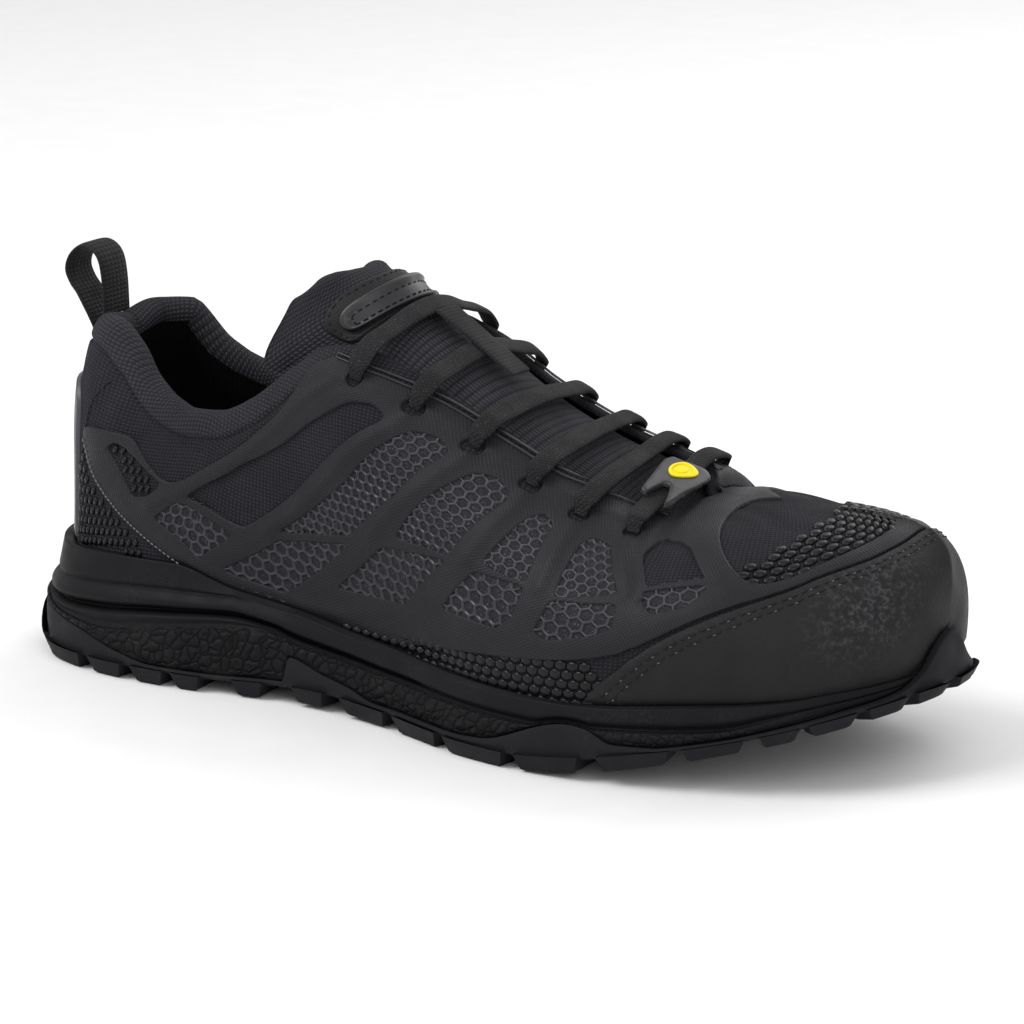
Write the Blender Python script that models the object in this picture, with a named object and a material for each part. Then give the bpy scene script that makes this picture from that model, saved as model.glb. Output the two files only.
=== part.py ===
"""Safety sneaker, right shoe, as separate solids that a shoemaker would put together.

Metres. +X runs to the toe, +Z up and +Y to the inner (medial) side of a right foot.
The origin lies on the ground under the heel. Every piece of the upper is worked out
from one function, upper_point, and every piece of the sole from another, sole_edge.
Both run once round the shoe: turn 0 is the middle of the heel, 1 the tip of the toe
by way of the outer side, and 2 the heel again by way of the inner side.
"""

import math
from collections import namedtuple

import bmesh
import bpy
import numpy as np
from mathutils import Vector
from mathutils.geometry import delaunay_2d_cdt

# Driving sizes
LENGTH = 0.300
BALL_WIDTH = 0.108
INSTEP_HEIGHT = 0.108
TOE_HEIGHT = 0.068
HEEL_STACK = 0.039
HEEL_TO_ORIGIN = 0.045

# Walls, fits and small sizes
CLEARANCE = 0.0003
WALL = 0.0022
COLLAR_PAD = 0.0085
LUG_DEPTH = 0.0038
BASE_THICKNESS = 0.0016
WRAP_WALL = 0.0020
WRAP_LEAST = 0.0004
FOOTBED_LEAST = 0.0012
TOE_THINNING = 0.30
RIM_LIP = 0.0040
INSOLE_THICKNESS = 0.0040

RIM_LEAST = 0.0010
EDGE_BEVEL = 0.0009
INSOLE_CLEAR = 0.0014
OVERLAY_LIFT = 0.0008
PLATE_LIFT = 0.0014
FILM_THICKNESS = 0.0009
CAP_THICKNESS = 0.0013
STRIP_THICKNESS = 0.0006
EYELET_DIAMETER = 0.0046
LACE_WIDTH = 0.0064
LACE_THICKNESS = 0.0018
PATCH_THICKNESS = 0.0008
BADGE_THICKNESS = 0.0018
LOOP_WIDTH = 0.013
LOOP_THICKNESS = 0.0016
LUG_PROUD = 0.0008
LUG_EMBED = 0.0014
LUG_DRAFT = 0.0025
TAG_GAP = 0.0008
TAG_THICKNESS = 0.0014
EMBLEM_RADIUS = 0.0041
EMBLEM_THICKNESS = 0.0006
EMBLEM_GAP = 0.0005

# Colours of the construction view, linear
RUBBER = (0.012, 0.012, 0.013)
FOAM = (0.016, 0.016, 0.018)
TEXTILE = (0.014, 0.014, 0.018)
LINING = (0.010, 0.010, 0.011)
FILM = (0.022, 0.022, 0.024)
LEATHER = (0.020, 0.018, 0.018)
GREY = (0.30, 0.30, 0.32)
YELLOW = (0.85, 0.60, 0.02)

# Mesh steps
WELD = 1e-6
SEAM_STEP = 1e-5
REAR_COLUMNS = 20
FRONT_COLUMNS = 8
UPPER_ROWS = 7
RIM_STEPS = 3
LACE_STEPS = 9

LATERAL, MEDIAL = -1, 1

for old in list(bpy.data.objects):
    bpy.data.objects.remove(old, do_unlink=True)
PARTS = bpy.data.collections.new("safety_sneaker")
CUTTERS = bpy.data.collections.new("cutters")
bpy.context.scene.collection.children.link(PARTS)
bpy.context.scene.collection.children.link(CUTTERS)

# Plan of the sole: shares of LENGTH, then shares of BALL_WIDTH to either side
Plan = namedtuple("Plan", "along lateral medial")
PLAN = [
    Plan(0.000, 0.000, 0.000),
    Plan(0.012, 0.150, 0.150),
    Plan(0.050, 0.285, 0.280),
    Plan(0.120, 0.365, 0.350),
    Plan(0.220, 0.385, 0.355),
    Plan(0.350, 0.352, 0.325),
    Plan(0.480, 0.412, 0.325),
    Plan(0.600, 0.528, 0.390),
    Plan(0.700, 0.558, 0.445),
    Plan(0.800, 0.520, 0.470),
    Plan(0.890, 0.420, 0.450),
    Plan(0.950, 0.290, 0.385),
    Plan(0.988, 0.110, 0.255),
    Plan(1.000, -0.070, 0.070),
]

# Height of the tread over the ground, in shares of TOE_HEIGHT, by share of LENGTH
Spring = namedtuple("Spring", "along height")
SPRING = [
    Spring(0.000, 0.120),
    Spring(0.030, 0.020),
    Spring(0.055, 0.000),
    Spring(0.250, 0.000),
    Spring(0.400, 0.018),
    Spring(0.530, 0.000),
    Spring(0.640, 0.000),
    Spring(0.720, 0.030),
    Spring(0.800, 0.100),
    Spring(0.900, 0.205),
    Spring(1.000, 0.330),
]

# Side of the sole by share of the way round from heel to toe: top of the midsole's rim
# in shares of HEEL_STACK, and how far in the upper stands in shares of BALL_WIDTH
Side = namedtuple("Side", "share rim upper_inset")
SIDE = [
    Side(0.00, 0.900, 0.085), Side(0.10, 0.890, 0.085), Side(0.18, 0.925, 0.078),
    Side(0.24, 0.935, 0.070), Side(0.30, 0.795, 0.065), Side(0.36, 0.710, 0.059),
    Side(0.42, 0.640, 0.056), Side(0.52, 0.585, 0.050), Side(0.66, 0.555, 0.045),
    Side(0.76, 0.625, 0.044), Side(0.84, 0.675, 0.042), Side(0.89, 0.725, 0.039),
    Side(0.92, 0.740, 0.038), Side(0.95, 0.755, 0.037), Side(1.00, 0.770, 0.037),
]

# Top of the outsole's upturned edge, in shares of HEEL_STACK: up round the heel and the
# toe, and in a fin behind the arch and another at the ball
Wrap = namedtuple("Wrap", "share height")
WRAP = [
    Wrap(0.000, 0.460), Wrap(0.060, 0.440), Wrap(0.096, 0.390), Wrap(0.147, 0.310),
    Wrap(0.190, 0.205), Wrap(0.225, 0.150), Wrap(0.330, 0.140), Wrap(0.350, 0.150),
    Wrap(0.357, 0.370), Wrap(0.391, 0.287), Wrap(0.419, 0.236), Wrap(0.450, 0.165),
    Wrap(0.540, 0.154), Wrap(0.580, 0.175), Wrap(0.668, 0.415), Wrap(0.682, 0.400),
    Wrap(0.705, 0.303), Wrap(0.737, 0.308), Wrap(0.776, 0.344), Wrap(0.822, 0.446),
    Wrap(0.885, 0.585), Wrap(0.941, 0.680), Wrap(0.963, 0.780), Wrap(0.985, 0.970),
    Wrap(1.000, 1.040),
]

# Lines along the midsole's side, in shares of HEEL_STACK: top of its pebbled part, the
# deep groove and the foot of the smooth cup
Lines = namedtuple("Lines", "share ledge groove cup")
LINES = [
    Lines(0.000, 0.400, 0.470, 0.620), Lines(0.100, 0.400, 0.470, 0.650),
    Lines(0.165, 0.370, 0.513, 0.692), Lines(0.230, 0.450, 0.575, 0.733),
    Lines(0.300, 0.533, 0.615, 0.755), Lines(0.335, 0.540, 0.570, 0.800),
    Lines(0.364, 0.470, 0.500, 0.800), Lines(0.423, 0.425, 0.450, 0.700),
    Lines(0.463, 0.395, 0.420, 0.650), Lines(0.558, 0.374, 0.400, 0.600),
    Lines(0.632, 0.360, 0.385, 0.600), Lines(0.689, 0.395, 0.420, 0.600),
    Lines(0.793, 0.462, 0.485, 0.700), Lines(0.822, 0.523, 0.545, 0.700),
    Lines(0.886, 0.631, 0.650, 0.750), Lines(1.000, 0.740, 0.750, 0.770),
]

# Profile of the midsole's side by level, 0 at the wrap, 1 to 3 at its lines and 4 at the
# rim: how far it stands in at the heel, forefoot and toe, in shares of BALL_WIDTH
Profile = namedtuple("Profile", "level heel fore toe")
PROFILE = [
    Profile(0.00, 0.002, 0.006, 0.024), Profile(0.50, 0.000, 0.000, 0.022),
    Profile(1.00, 0.006, 0.004, 0.022), Profile(1.20, 0.014, 0.012, 0.022),
    Profile(1.60, 0.009, 0.008, 0.022), Profile(2.00, 0.027, 0.014, 0.023),
    Profile(2.40, 0.014, 0.004, 0.022), Profile(3.00, 0.032, 0.010, 0.023),
    Profile(4.00, 0.052, 0.022, 0.026),
]

# Top line of the upper: shares of LENGTH, of BALL_WIDTH at each side and, for the
# outer and inner side, of INSTEP_HEIGHT. lean is the angle at which the wall arrives,
# from 0 upright to 90 flat; flare is the angle at which it leaves the sole, outward.
# rise and reach are the pulls of the curve's two ends, in shares of its chord.
Rib = namedtuple("Rib", "share along lateral medial outer inner lean flare rise reach")
RIBS = [
    Rib(0.000, 0.062, 0.000, 0.000, 0.916, 0.916, 32, -9, 0.36, 0.28),
    Rib(0.050, 0.070, -0.110, 0.120, 0.933, 0.939, 31, -7, 0.36, 0.29),
    Rib(0.090, 0.100, -0.190, 0.215, 0.939, 0.934, 30, -4, 0.36, 0.31),
    Rib(0.120, 0.138, -0.245, 0.262, 0.892, 0.821, 28, 0, 0.36, 0.34),
    Rib(0.150, 0.170, -0.280, 0.285, 0.805, 0.768, 22, 2, 0.36, 0.34),
    Rib(0.180, 0.196, -0.300, 0.298, 0.762, 0.744, 20, 3, 0.36, 0.34),
    Rib(0.220, 0.228, -0.315, 0.306, 0.738, 0.730, 18, 4, 0.36, 0.34),
    Rib(0.260, 0.264, -0.320, 0.308, 0.746, 0.737, 18, 4, 0.36, 0.34),
    Rib(0.300, 0.304, -0.318, 0.306, 0.799, 0.790, 20, 4, 0.36, 0.34),
    Rib(0.350, 0.352, -0.312, 0.300, 0.908, 0.900, 26, 4, 0.36, 0.34),
    Rib(0.400, 0.392, -0.302, 0.290, 0.988, 0.979, 36, 4, 0.36, 0.32),
    Rib(0.430, 0.420, -0.280, 0.270, 0.995, 0.987, 46, 4, 0.37, 0.33),
    Rib(0.460, 0.450, -0.258, 0.262, 0.972, 0.962, 52, 4, 0.38, 0.34),
    Rib(0.520, 0.530, -0.230, 0.225, 0.866, 0.851, 58, 6, 0.40, 0.38),
    Rib(0.600, 0.632, -0.195, 0.180, 0.725, 0.756, 64, 10, 0.42, 0.42),
    Rib(0.650, 0.690, -0.172, 0.152, 0.657, 0.721, 72, 13, 0.44, 0.45),
    Rib(0.685, 0.722, -0.140, 0.130, 0.628, 0.701, 80, 15, 0.45, 0.48),
    Rib(0.705, 0.738, -0.080, 0.100, 0.622, 0.680, 86, 16, 0.46, 0.49),
    Rib(0.720, 0.745, 0.055, 0.055, 0.643, 0.643, 90, 16, 0.47, 0.50),
    Rib(0.790, 0.790, 0.075, 0.075, 0.654, 0.654, 90, 18, 0.49, 0.52),
    Rib(0.860, 0.840, 0.093, 0.093, 0.637, 0.637, 90, 16, 0.51, 0.52),
    Rib(0.930, 0.893, 0.105, 0.105, 0.635, 0.635, 90, 9, 0.54, 0.52),
    Rib(1.000, 0.934, 0.112, 0.112, 0.630, 0.630, 90, 3, 0.58, 0.50),
]
THROAT_FRONT = 0.720

# Lugs round the edge on both sides, from and to a share of the way from heel to toe,
# and how far they reach in, in shares of BALL_WIDTH
EdgeLug = namedtuple("EdgeLug", "start end reach")
EDGE_LUGS = [
    EdgeLug(0.030, 0.082, 0.05), EdgeLug(0.097, 0.147, 0.09), EdgeLug(0.163, 0.195, 0.12),
    EdgeLug(0.210, 0.238, 0.14), EdgeLug(0.251, 0.273, 0.14), EdgeLug(0.307, 0.331, 0.14),
    EdgeLug(0.365, 0.394, 0.14), EdgeLug(0.418, 0.464, 0.15), EdgeLug(0.480, 0.532, 0.15),
    EdgeLug(0.547, 0.607, 0.15), EdgeLug(0.623, 0.676, 0.15), EdgeLug(0.696, 0.750, 0.15),
    EdgeLug(0.764, 0.808, 0.14), EdgeLug(0.823, 0.850, 0.12), EdgeLug(0.861, 0.895, 0.10),
    EdgeLug(0.909, 0.941, 0.08), EdgeLug(0.955, 0.988, 0.06),
]
HEEL_LUG = EdgeLug(-0.016, 0.016, 0.05)

# Six-sided lugs inside them: shares of LENGTH, of BALL_WIDTH and, for the radius, of LENGTH
MiddleLug = namedtuple("MiddleLug", "along across radius")
MIDDLE_LUGS = [
    MiddleLug(0.150, 0.00, 0.040), MiddleLug(0.245, 0.00, 0.030),
    MiddleLug(0.340, -0.02, 0.028), MiddleLug(0.450, -0.05, 0.028),
    MiddleLug(0.585, -0.07, 0.040),
    MiddleLug(0.685, -0.19, 0.032), MiddleLug(0.685, 0.09, 0.032),
    MiddleLug(0.790, -0.05, 0.034),
]

# Outlines of the overlays on the outer side, repeated on the inner: share of the way
# from heel to toe and height up the upper. The film's edge runs from the back of the
# heel along the sole and the toe cap to the ridge, round the vamp's window and up the
# throat; the toe cap's follows its seam.
FILM_REAR = [(0.101, 0.500), (0.126, 0.377), (0.160, 0.304), (0.207, 0.175),
             (0.235, 0.080), (0.262, 0.000), (0.410, 0.000), (0.469, 0.050),
             (0.520, 0.098), (0.578, 0.142), (0.657, 0.199), (0.709, 0.222)]
VAMP_WINDOW = [(0.985, 1.000), (0.960, 0.900), (0.893, 0.683), (0.850, 0.548),
               (0.815, 0.478), (0.797, 0.485), (0.776, 0.592), (0.764, 0.720),
               (0.769, 0.860), (0.790, 0.950), (0.825, 1.000)]
FILM_TOP = [(0.736, 1.000), (0.718, 0.968), (0.690, 0.966), (0.600, 0.970),
            (0.500, 0.972), (0.420, 0.972), (0.395, 0.966), (0.374, 0.930),
            (0.348, 0.872), (0.302, 0.841), (0.263, 0.750), (0.240, 0.645),
            (0.215, 0.578), (0.183, 0.652), (0.154, 0.745), (0.140, 0.700),
            (0.101, 0.575)]
CAP_SEAM = [(0.672, 0.000), (0.686, 0.105), (0.698, 0.150), (0.714, 0.185),
            (0.737, 0.236), (0.770, 0.306), (0.807, 0.392), (0.837, 0.455),
            (0.863, 0.510), (0.891, 0.567), (0.927, 0.655), (0.965, 0.760),
            (1.000, 0.830)]
SEAM_GAP = 0.012
HEEL_STRIP = [(0.000, 0.000), (0.092, 0.000), (0.091, 0.300), (0.082, 0.640),
              (0.060, 0.720), (0.000, 0.745)]
WINDOWS = [
    [(0.133, 0.575), (0.139, 0.640), (0.150, 0.660), (0.208, 0.570), (0.196, 0.470),
     (0.179, 0.428)],
    [(0.211, 0.342), (0.233, 0.470), (0.296, 0.342), (0.263, 0.152)],
    [(0.243, 0.515), (0.300, 0.715), (0.375, 0.715), (0.445, 0.802), (0.466, 0.822),
     (0.478, 0.805), (0.474, 0.775), (0.392, 0.549), (0.306, 0.382)],
    [(0.345, 0.354), (0.440, 0.530), (0.502, 0.815), (0.520, 0.845), (0.531, 0.820),
     (0.526, 0.780), (0.492, 0.553), (0.429, 0.355)],
    [(0.288, 0.140), (0.344, 0.312), (0.423, 0.321), (0.345, 0.100)],
    [(0.489, 0.409), (0.554, 0.800), (0.568, 0.827), (0.580, 0.800), (0.580, 0.760),
     (0.547, 0.455)],
    [(0.403, 0.170), (0.468, 0.346), (0.543, 0.426), (0.482, 0.189)],
    [(0.578, 0.487), (0.602, 0.740), (0.611, 0.790), (0.620, 0.760), (0.616, 0.482)],
    [(0.536, 0.248), (0.572, 0.440), (0.616, 0.460), (0.610, 0.335), (0.595, 0.264)],
    [(0.644, 0.462), (0.648, 0.720), (0.655, 0.770), (0.671, 0.755), (0.695, 0.503)],
    [(0.631, 0.293), (0.642, 0.438), (0.697, 0.447), (0.698, 0.349), (0.688, 0.327),
     (0.642, 0.273)],
    [(0.704, 0.690), (0.711, 0.724), (0.730, 0.650), (0.745, 0.610), (0.765, 0.485),
     (0.771, 0.430), (0.757, 0.362), (0.730, 0.336), (0.722, 0.370), (0.713, 0.520)],
]

Eyelet = namedtuple("Eyelet", "share height")
EYELETS = [Eyelet(0.442, 0.885), Eyelet(0.495, 0.891), Eyelet(0.543, 0.885),
           Eyelet(0.590, 0.871), Eyelet(0.633, 0.848), Eyelet(0.682, 0.842)]

# Tongue where it lies under the throat: share, height of its edges, its thickness in
# shares of INSTEP_HEIGHT, how far it lies below the upper's inside and how far it arches
Bed = namedtuple("Bed", "share wing thickness below crown")
TONGUE_BED = [
    Bed(0.738, 0.900, 0.028, 0.0026, 0.20), Bed(0.715, 0.860, 0.033, 0.0020, 0.20),
    Bed(0.685, 0.835, 0.039, 0.0010, 0.20), Bed(0.640, 0.800, 0.043, 0.0008, 0.20),
    Bed(0.590, 0.780, 0.046, 0.0008, 0.22), Bed(0.540, 0.770, 0.048, 0.0008, 0.25),
    Bed(0.490, 0.765, 0.052, 0.0008, 0.30), Bed(0.450, 0.765, 0.057, 0.0008, 0.36),
]
# and above it: shares of LENGTH and INSTEP_HEIGHT for its front and its edges, half its
# width in shares of BALL_WIDTH, and its thickness
Free = namedtuple("Free", "front_along front_up edge_along edge_up half thickness")
TONGUE_FREE = [
    Free(0.428, 1.072, 0.337, 0.861, 0.2175, 0.069),
    Free(0.406, 1.122, 0.297, 0.907, 0.2220, 0.080),
    Free(0.370, 1.147, 0.320, 1.065, 0.1950, 0.083),
]
TONGUE_COLUMNS = 9

# Plates on the tongue: rows and columns of its grid
TONGUE_PATCH = [(7.8, 1.7), (7.8, 6.0), (9.1, 6.0), (9.5, 5.6), (9.5, 2.2), (9.1, 1.8)]
TONGUE_BADGE = [(8.05, 2.3), (8.05, 5.2), (8.2, 5.6), (8.8, 5.6), (9.0, 5.2), (9.0, 2.4),
                (8.8, 2.1), (8.2, 2.0)]

# Keeper and tag over the laces: shares they span along the throat, and their outlines
# in rows and columns of that part of the laces
PLATE_ROWS = 4
KEEPER_SHARES = (0.460, 0.524)
LACE_KEEPER = [(0.0, 3.45), (0.0, 4.55), (3.0, 4.55), (3.0, 3.45)]
TAG_SHARES = (0.655, 0.708)
LACE_TAG = [(0.15, 4.2), (0.40, 4.6), (2.50, 4.6), (2.75, 4.3), (3.00, 0.6), (2.80, 0.4),
            (2.05, 2.2), (1.85, 2.6), (1.45, 2.7), (1.20, 2.2), (1.05, 1.7), (0.60, 1.8)]
TAG_CENTRE = (1.65, 3.8)

# Pull loop at the heel, seen from the side: shares of LENGTH and INSTEP_HEIGHT
Loop = namedtuple("Loop", "along up")
PULL_LOOP = [
    Loop(0.0330, 0.985), Loop(0.0230, 1.020), Loop(0.0180, 1.055), Loop(0.0240, 1.095),
    Loop(0.0380, 1.118), Loop(0.0520, 1.095), Loop(0.0575, 1.035), Loop(0.0595, 0.933),
]


def column(rows, name):
    return np.array([getattr(row, name) for row in rows])


def smooth(rows, name, at):
    """A column of a table as a smooth curve that never overshoots its rows."""
    x, y = column(rows, rows[0]._fields[0]), column(rows, name)
    step, rate = np.diff(x), np.diff(y) / np.diff(x)
    slope = np.concatenate([rate[:1], np.zeros(len(x) - 2), rate[-1:]])
    before, after = rate[:-1], rate[1:]
    same = before * after > 0
    near, far = step[1:] * 2 + step[:-1], step[1:] + step[:-1] * 2
    slope[1:-1][same] = ((near + far)[same]
                         / (near[same] / before[same] + far[same] / after[same]))
    at = np.clip(at, x[0], x[-1])
    i = np.clip(np.searchsorted(x, at, side="right") - 1, 0, len(x) - 2)
    t = (at - x[i]) / step[i]
    return ((1 + 2 * t) * (1 - t) ** 2 * y[i] + t * (1 - t) ** 2 * step[i] * slope[i]
            + t * t * (3 - 2 * t) * y[i + 1] + t * t * (t - 1) * step[i] * slope[i + 1])


def unit(vectors):
    return vectors / np.linalg.norm(vectors, axis=-1, keepdims=True)


def plan_curve(side, samples=400):
    """One side of the plan from heel to toe, as points with their share of the way."""
    wide = column(PLAN, "lateral" if side == LATERAL else "medial")
    points = np.stack([column(PLAN, "along") * LENGTH - HEEL_TO_ORIGIN,
                       wide * BALL_WIDTH * side], -1)
    knots = np.concatenate([[0], np.cumsum(np.linalg.norm(np.diff(points, axis=0), axis=1) ** 0.5)])
    step = np.diff(knots)[:, None]
    rate = np.diff(points, axis=0) / step
    tangent = np.zeros_like(points)
    tangent[1:-1] = (rate[:-1] * step[1:] + rate[1:] * step[:-1]) / (step[1:] + step[:-1])
    tangent[0] = 0, side * np.linalg.norm(rate[0])
    tangent[-1] = 0, -side * np.linalg.norm(rate[-1])
    at = np.linspace(0, knots[-1], samples)
    i = np.clip(np.searchsorted(knots, at, side="right") - 1, 0, len(knots) - 2)
    t = (at - knots[i])[:, None] / step[i]
    curve = ((1 + 2 * t) * (1 - t) ** 2 * points[i] + t * (1 - t) ** 2 * step[i] * tangent[i]
             + t * t * (3 - 2 * t) * points[i + 1] + t * t * (t - 1) * step[i] * tangent[i + 1])
    way = np.concatenate([[0], np.cumsum(np.linalg.norm(np.diff(curve, axis=0), axis=1))])
    along = np.gradient(curve, axis=0)
    along[0], along[-1] = (0, side), (0, -side)
    outward = unit(np.stack([-along[:, 1] * side, along[:, 0] * side], -1))
    return way / way[-1], curve, outward


CURVES = {side: plan_curve(side) for side in (LATERAL, MEDIAL)}


def share_of(turn):
    """Share of the way from heel to toe, and the side, at a turn round the shoe."""
    turn = np.mod(turn, 2.0)
    return np.where(turn <= 1, turn, 2 - turn), np.where(turn <= 1, LATERAL, MEDIAL)


def sole_edge(turn, inset=0.0):
    """Plan point of the sole's edge, moved in, with the outward direction there."""
    share, side = share_of(turn)
    point, outward = np.zeros(share.shape + (2,)), np.zeros(share.shape + (2,))
    for which, (way, curve, normal) in CURVES.items():
        here = side == which
        for axis in (0, 1):
            point[here, axis] = np.interp(share[here], way, curve[:, axis])
            outward[here, axis] = np.interp(share[here], way, normal[:, axis])
    outward = unit(outward)
    return point - outward * np.asarray(inset)[..., None], outward


def spring(x):
    """Height of the tread over the ground at a place along the shoe."""
    return smooth(SPRING, "height", (x + HEEL_TO_ORIGIN) / LENGTH) * TOE_HEIGHT


def tread_height(turn):
    """Height of the tread over the ground at the edge of the sole."""
    return spring(sole_edge(turn)[0][..., 0])


def toe_taper(turn):
    """The outsole and its lugs thin towards the toe."""
    along = (sole_edge(turn)[0][..., 0] + HEEL_TO_ORIGIN) / LENGTH
    return 1 - TOE_THINNING * ramp(along, 0.70, 0.90)


def base_bottom(turn):
    return tread_height(turn) + LUG_DEPTH * toe_taper(turn)


def base_top(turn):
    return base_bottom(turn) + BASE_THICKNESS * toe_taper(turn)


def wrap_height(turn):
    """Top of the outsole's upturned edge."""
    return np.maximum(smooth(WRAP, "height", share_of(turn)[0]) * HEEL_STACK,
                      base_top(turn) + WRAP_LEAST)


def rim_height(turn):
    """Top of the midsole's rim, round the foot of the upper."""
    return smooth(SIDE, "rim", share_of(turn)[0]) * HEEL_STACK


def floor_height(turn):
    """The footbed on which upper and insole stand."""
    return np.maximum(rim_height(turn) - RIM_LIP, base_top(turn) + CLEARANCE + FOOTBED_LEAST)


def upper_inset(turn):
    return smooth(SIDE, "upper_inset", share_of(turn)[0]) * BALL_WIDTH


def ramp(value, start, end):
    """0 before start, 1 after end and smooth between."""
    t = np.clip((value - start) / (end - start), 0, 1)
    return t * t * (3 - 2 * t)


def level_height(turn, level):
    """Height of a level of the midsole's side, between the wrap, its lines and the rim."""
    share, rim = share_of(turn)[0], rim_height(turn)
    wrap = np.minimum(wrap_height(turn), rim - RIM_LEAST) + CLEARANCE
    marks = [wrap]
    for line, above in (("ledge", 0.24), ("groove", 0.15), ("cup", 0.06)):
        height = smooth(LINES, line, share) * HEEL_STACK
        marks.append(np.clip(height, marks[-1] + (rim - wrap) * 0.05,
                             rim - (rim - wrap) * above))
    marks.append(rim)
    below = int(min(level, 3))
    return marks[below] + (marks[below + 1] - marks[below]) * (level - below)


def profile_inset(turn, level):
    """How far the midsole's side stands in from the plan at a level."""
    share = share_of(turn)[0]
    fore, toe = ramp(share, 0.28, 0.50), ramp(share, 0.78, 0.87)
    at = np.full_like(share, level)
    rear = smooth(PROFILE, "heel", at) * (1 - fore) + smooth(PROFILE, "fore", at) * fore
    return (rear * (1 - toe) + smooth(PROFILE, "toe", at) * toe) * BALL_WIDTH


def rib_points(share, side):
    """The four control points of the rib of the upper at a share of the way round."""
    turn = np.where(side == LATERAL, share, 2 - share)
    foot, outward = sole_edge(turn, upper_inset(turn))
    floor = floor_height(turn) + CLEARANCE
    start = np.concatenate([foot, floor[..., None]], -1)
    along = smooth(RIBS, "along", share) * LENGTH - HEEL_TO_ORIGIN
    outer_side = (side == LATERAL) & (share < THROAT_FRONT)
    across = np.where(outer_side, smooth(RIBS, "lateral", share),
                      smooth(RIBS, "medial", share)) * BALL_WIDTH
    top = np.where(outer_side, smooth(RIBS, "outer", share), smooth(RIBS, "inner", share))
    end = np.stack([along, across, top * INSTEP_HEIGHT], -1)
    ahead = np.clip(share + 0.01, THROAT_FRONT + 0.01, 1)
    behind = ahead - 0.01
    ridge = unit(np.stack([
        (smooth(RIBS, "along", ahead) - smooth(RIBS, "along", behind)) * LENGTH,
        (smooth(RIBS, "medial", ahead) - smooth(RIBS, "medial", behind)) * BALL_WIDTH,
        (smooth(RIBS, "inner", ahead) - smooth(RIBS, "inner", behind)) * INSTEP_HEIGHT], -1))
    on_ridge = (share >= THROAT_FRONT)[..., None]
    forward = np.where(on_ridge, ridge, [1.0, 0.0, 0.0])
    sideways = np.array([0.0, 1.0, 0.0])
    inward = -unit(outward[..., :1] * forward + outward[..., 1:] * sideways)
    lean = np.radians(smooth(RIBS, "lean", share))[..., None]
    flare = np.radians(smooth(RIBS, "flare", share))[..., None]
    up = np.array([0.0, 0.0, 1.0])
    arrive = unit(np.cos(lean) * up + np.sin(lean) * inward)
    flat_outward = np.concatenate([outward, np.zeros_like(outward[..., :1])], -1)
    leave = np.cos(flare) * up + np.sin(flare) * flat_outward
    chord = np.linalg.norm(end - start, axis=-1, keepdims=True)
    rise = smooth(RIBS, "rise", share)[..., None] * chord
    reach = smooth(RIBS, "reach", share)[..., None] * chord
    return start, start + leave * rise, end - arrive * reach, end


def surface_point(turn, height):
    """Point of the upper's outer face: height 0 at the sole and 1 at the top line."""
    share, side = share_of(turn)
    a, b, c, d = rib_points(share, side)
    t = np.asarray(height)[..., None]
    return a * (1 - t) ** 3 + b * 3 * t * (1 - t) ** 2 + c * 3 * t * t * (1 - t) + d * t ** 3


def side_normal(turn, height):
    step = 1e-4
    share, side = share_of(turn)
    low, high = np.clip(height - step, 0, 1), np.clip(height + step, 0, 1)
    up = surface_point(turn, high) - surface_point(turn, low)
    back = np.where(side == LATERAL, 0, 2)
    sign = np.where(side == LATERAL, 1, -1)
    ahead, behind = np.clip(share + step, 0, 1), np.clip(share - step, 0, 1)
    forward = surface_point(back + sign * ahead, height) - surface_point(back + sign * behind, height)
    return unit(np.cross(forward, up) * sign[..., None])


def surface_normal(turn, height):
    """Outward direction of the upper's outer face, shared by both sides where they meet."""
    share = share_of(turn)[0]
    other = np.where(share_of(turn)[1] == LATERAL, 2 - share, share)
    meet = ((height >= 1) & (share >= THROAT_FRONT)) | (share <= 0) | (share >= 1)
    here = side_normal(turn, height)
    mirrored = side_normal(np.clip(other, SEAM_STEP, 2 - SEAM_STEP), height)
    return np.where(meet[..., None], unit(here + mirrored), here)


def wall_at(turn, height):
    """Thickness of the upper's wall: thick round the padded collar."""
    share = share_of(turn)[0]
    collar = 1 - ramp(share, 0.33, 0.42)
    return WALL + (COLLAR_PAD - WALL) * collar * ramp(height, 0.45, 0.90)


def upper_point(turn, height, lift=0.0):
    """Point of the upper's outer face, moved outward by a lift."""
    turn, height = np.broadcast_arrays(np.asarray(turn, float), np.asarray(height, float))
    return surface_point(turn, height) + surface_normal(turn, height) * np.asarray(lift)[..., None]


def turns_round():
    """Turns of the columns: the same shares up the outer side and down the inner."""
    rear = np.linspace(0, THROAT_FRONT, REAR_COLUMNS + 1)
    front = np.linspace(THROAT_FRONT, 1, FRONT_COLUMNS + 1)[1:]
    outer = np.concatenate([rear, front])
    return np.concatenate([outer, 2 - outer[-2:0:-1]])


TURNS = turns_round()


def material(name, colour, roughness, metallic=0.0):
    made = bpy.data.materials.new(name)
    made.use_nodes = True
    shader = made.node_tree.nodes["Principled BSDF"]
    shader.inputs["Base Color"].default_value = (*colour, 1.0)
    shader.inputs["Roughness"].default_value = roughness
    shader.inputs["Metallic"].default_value = metallic
    return made


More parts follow.
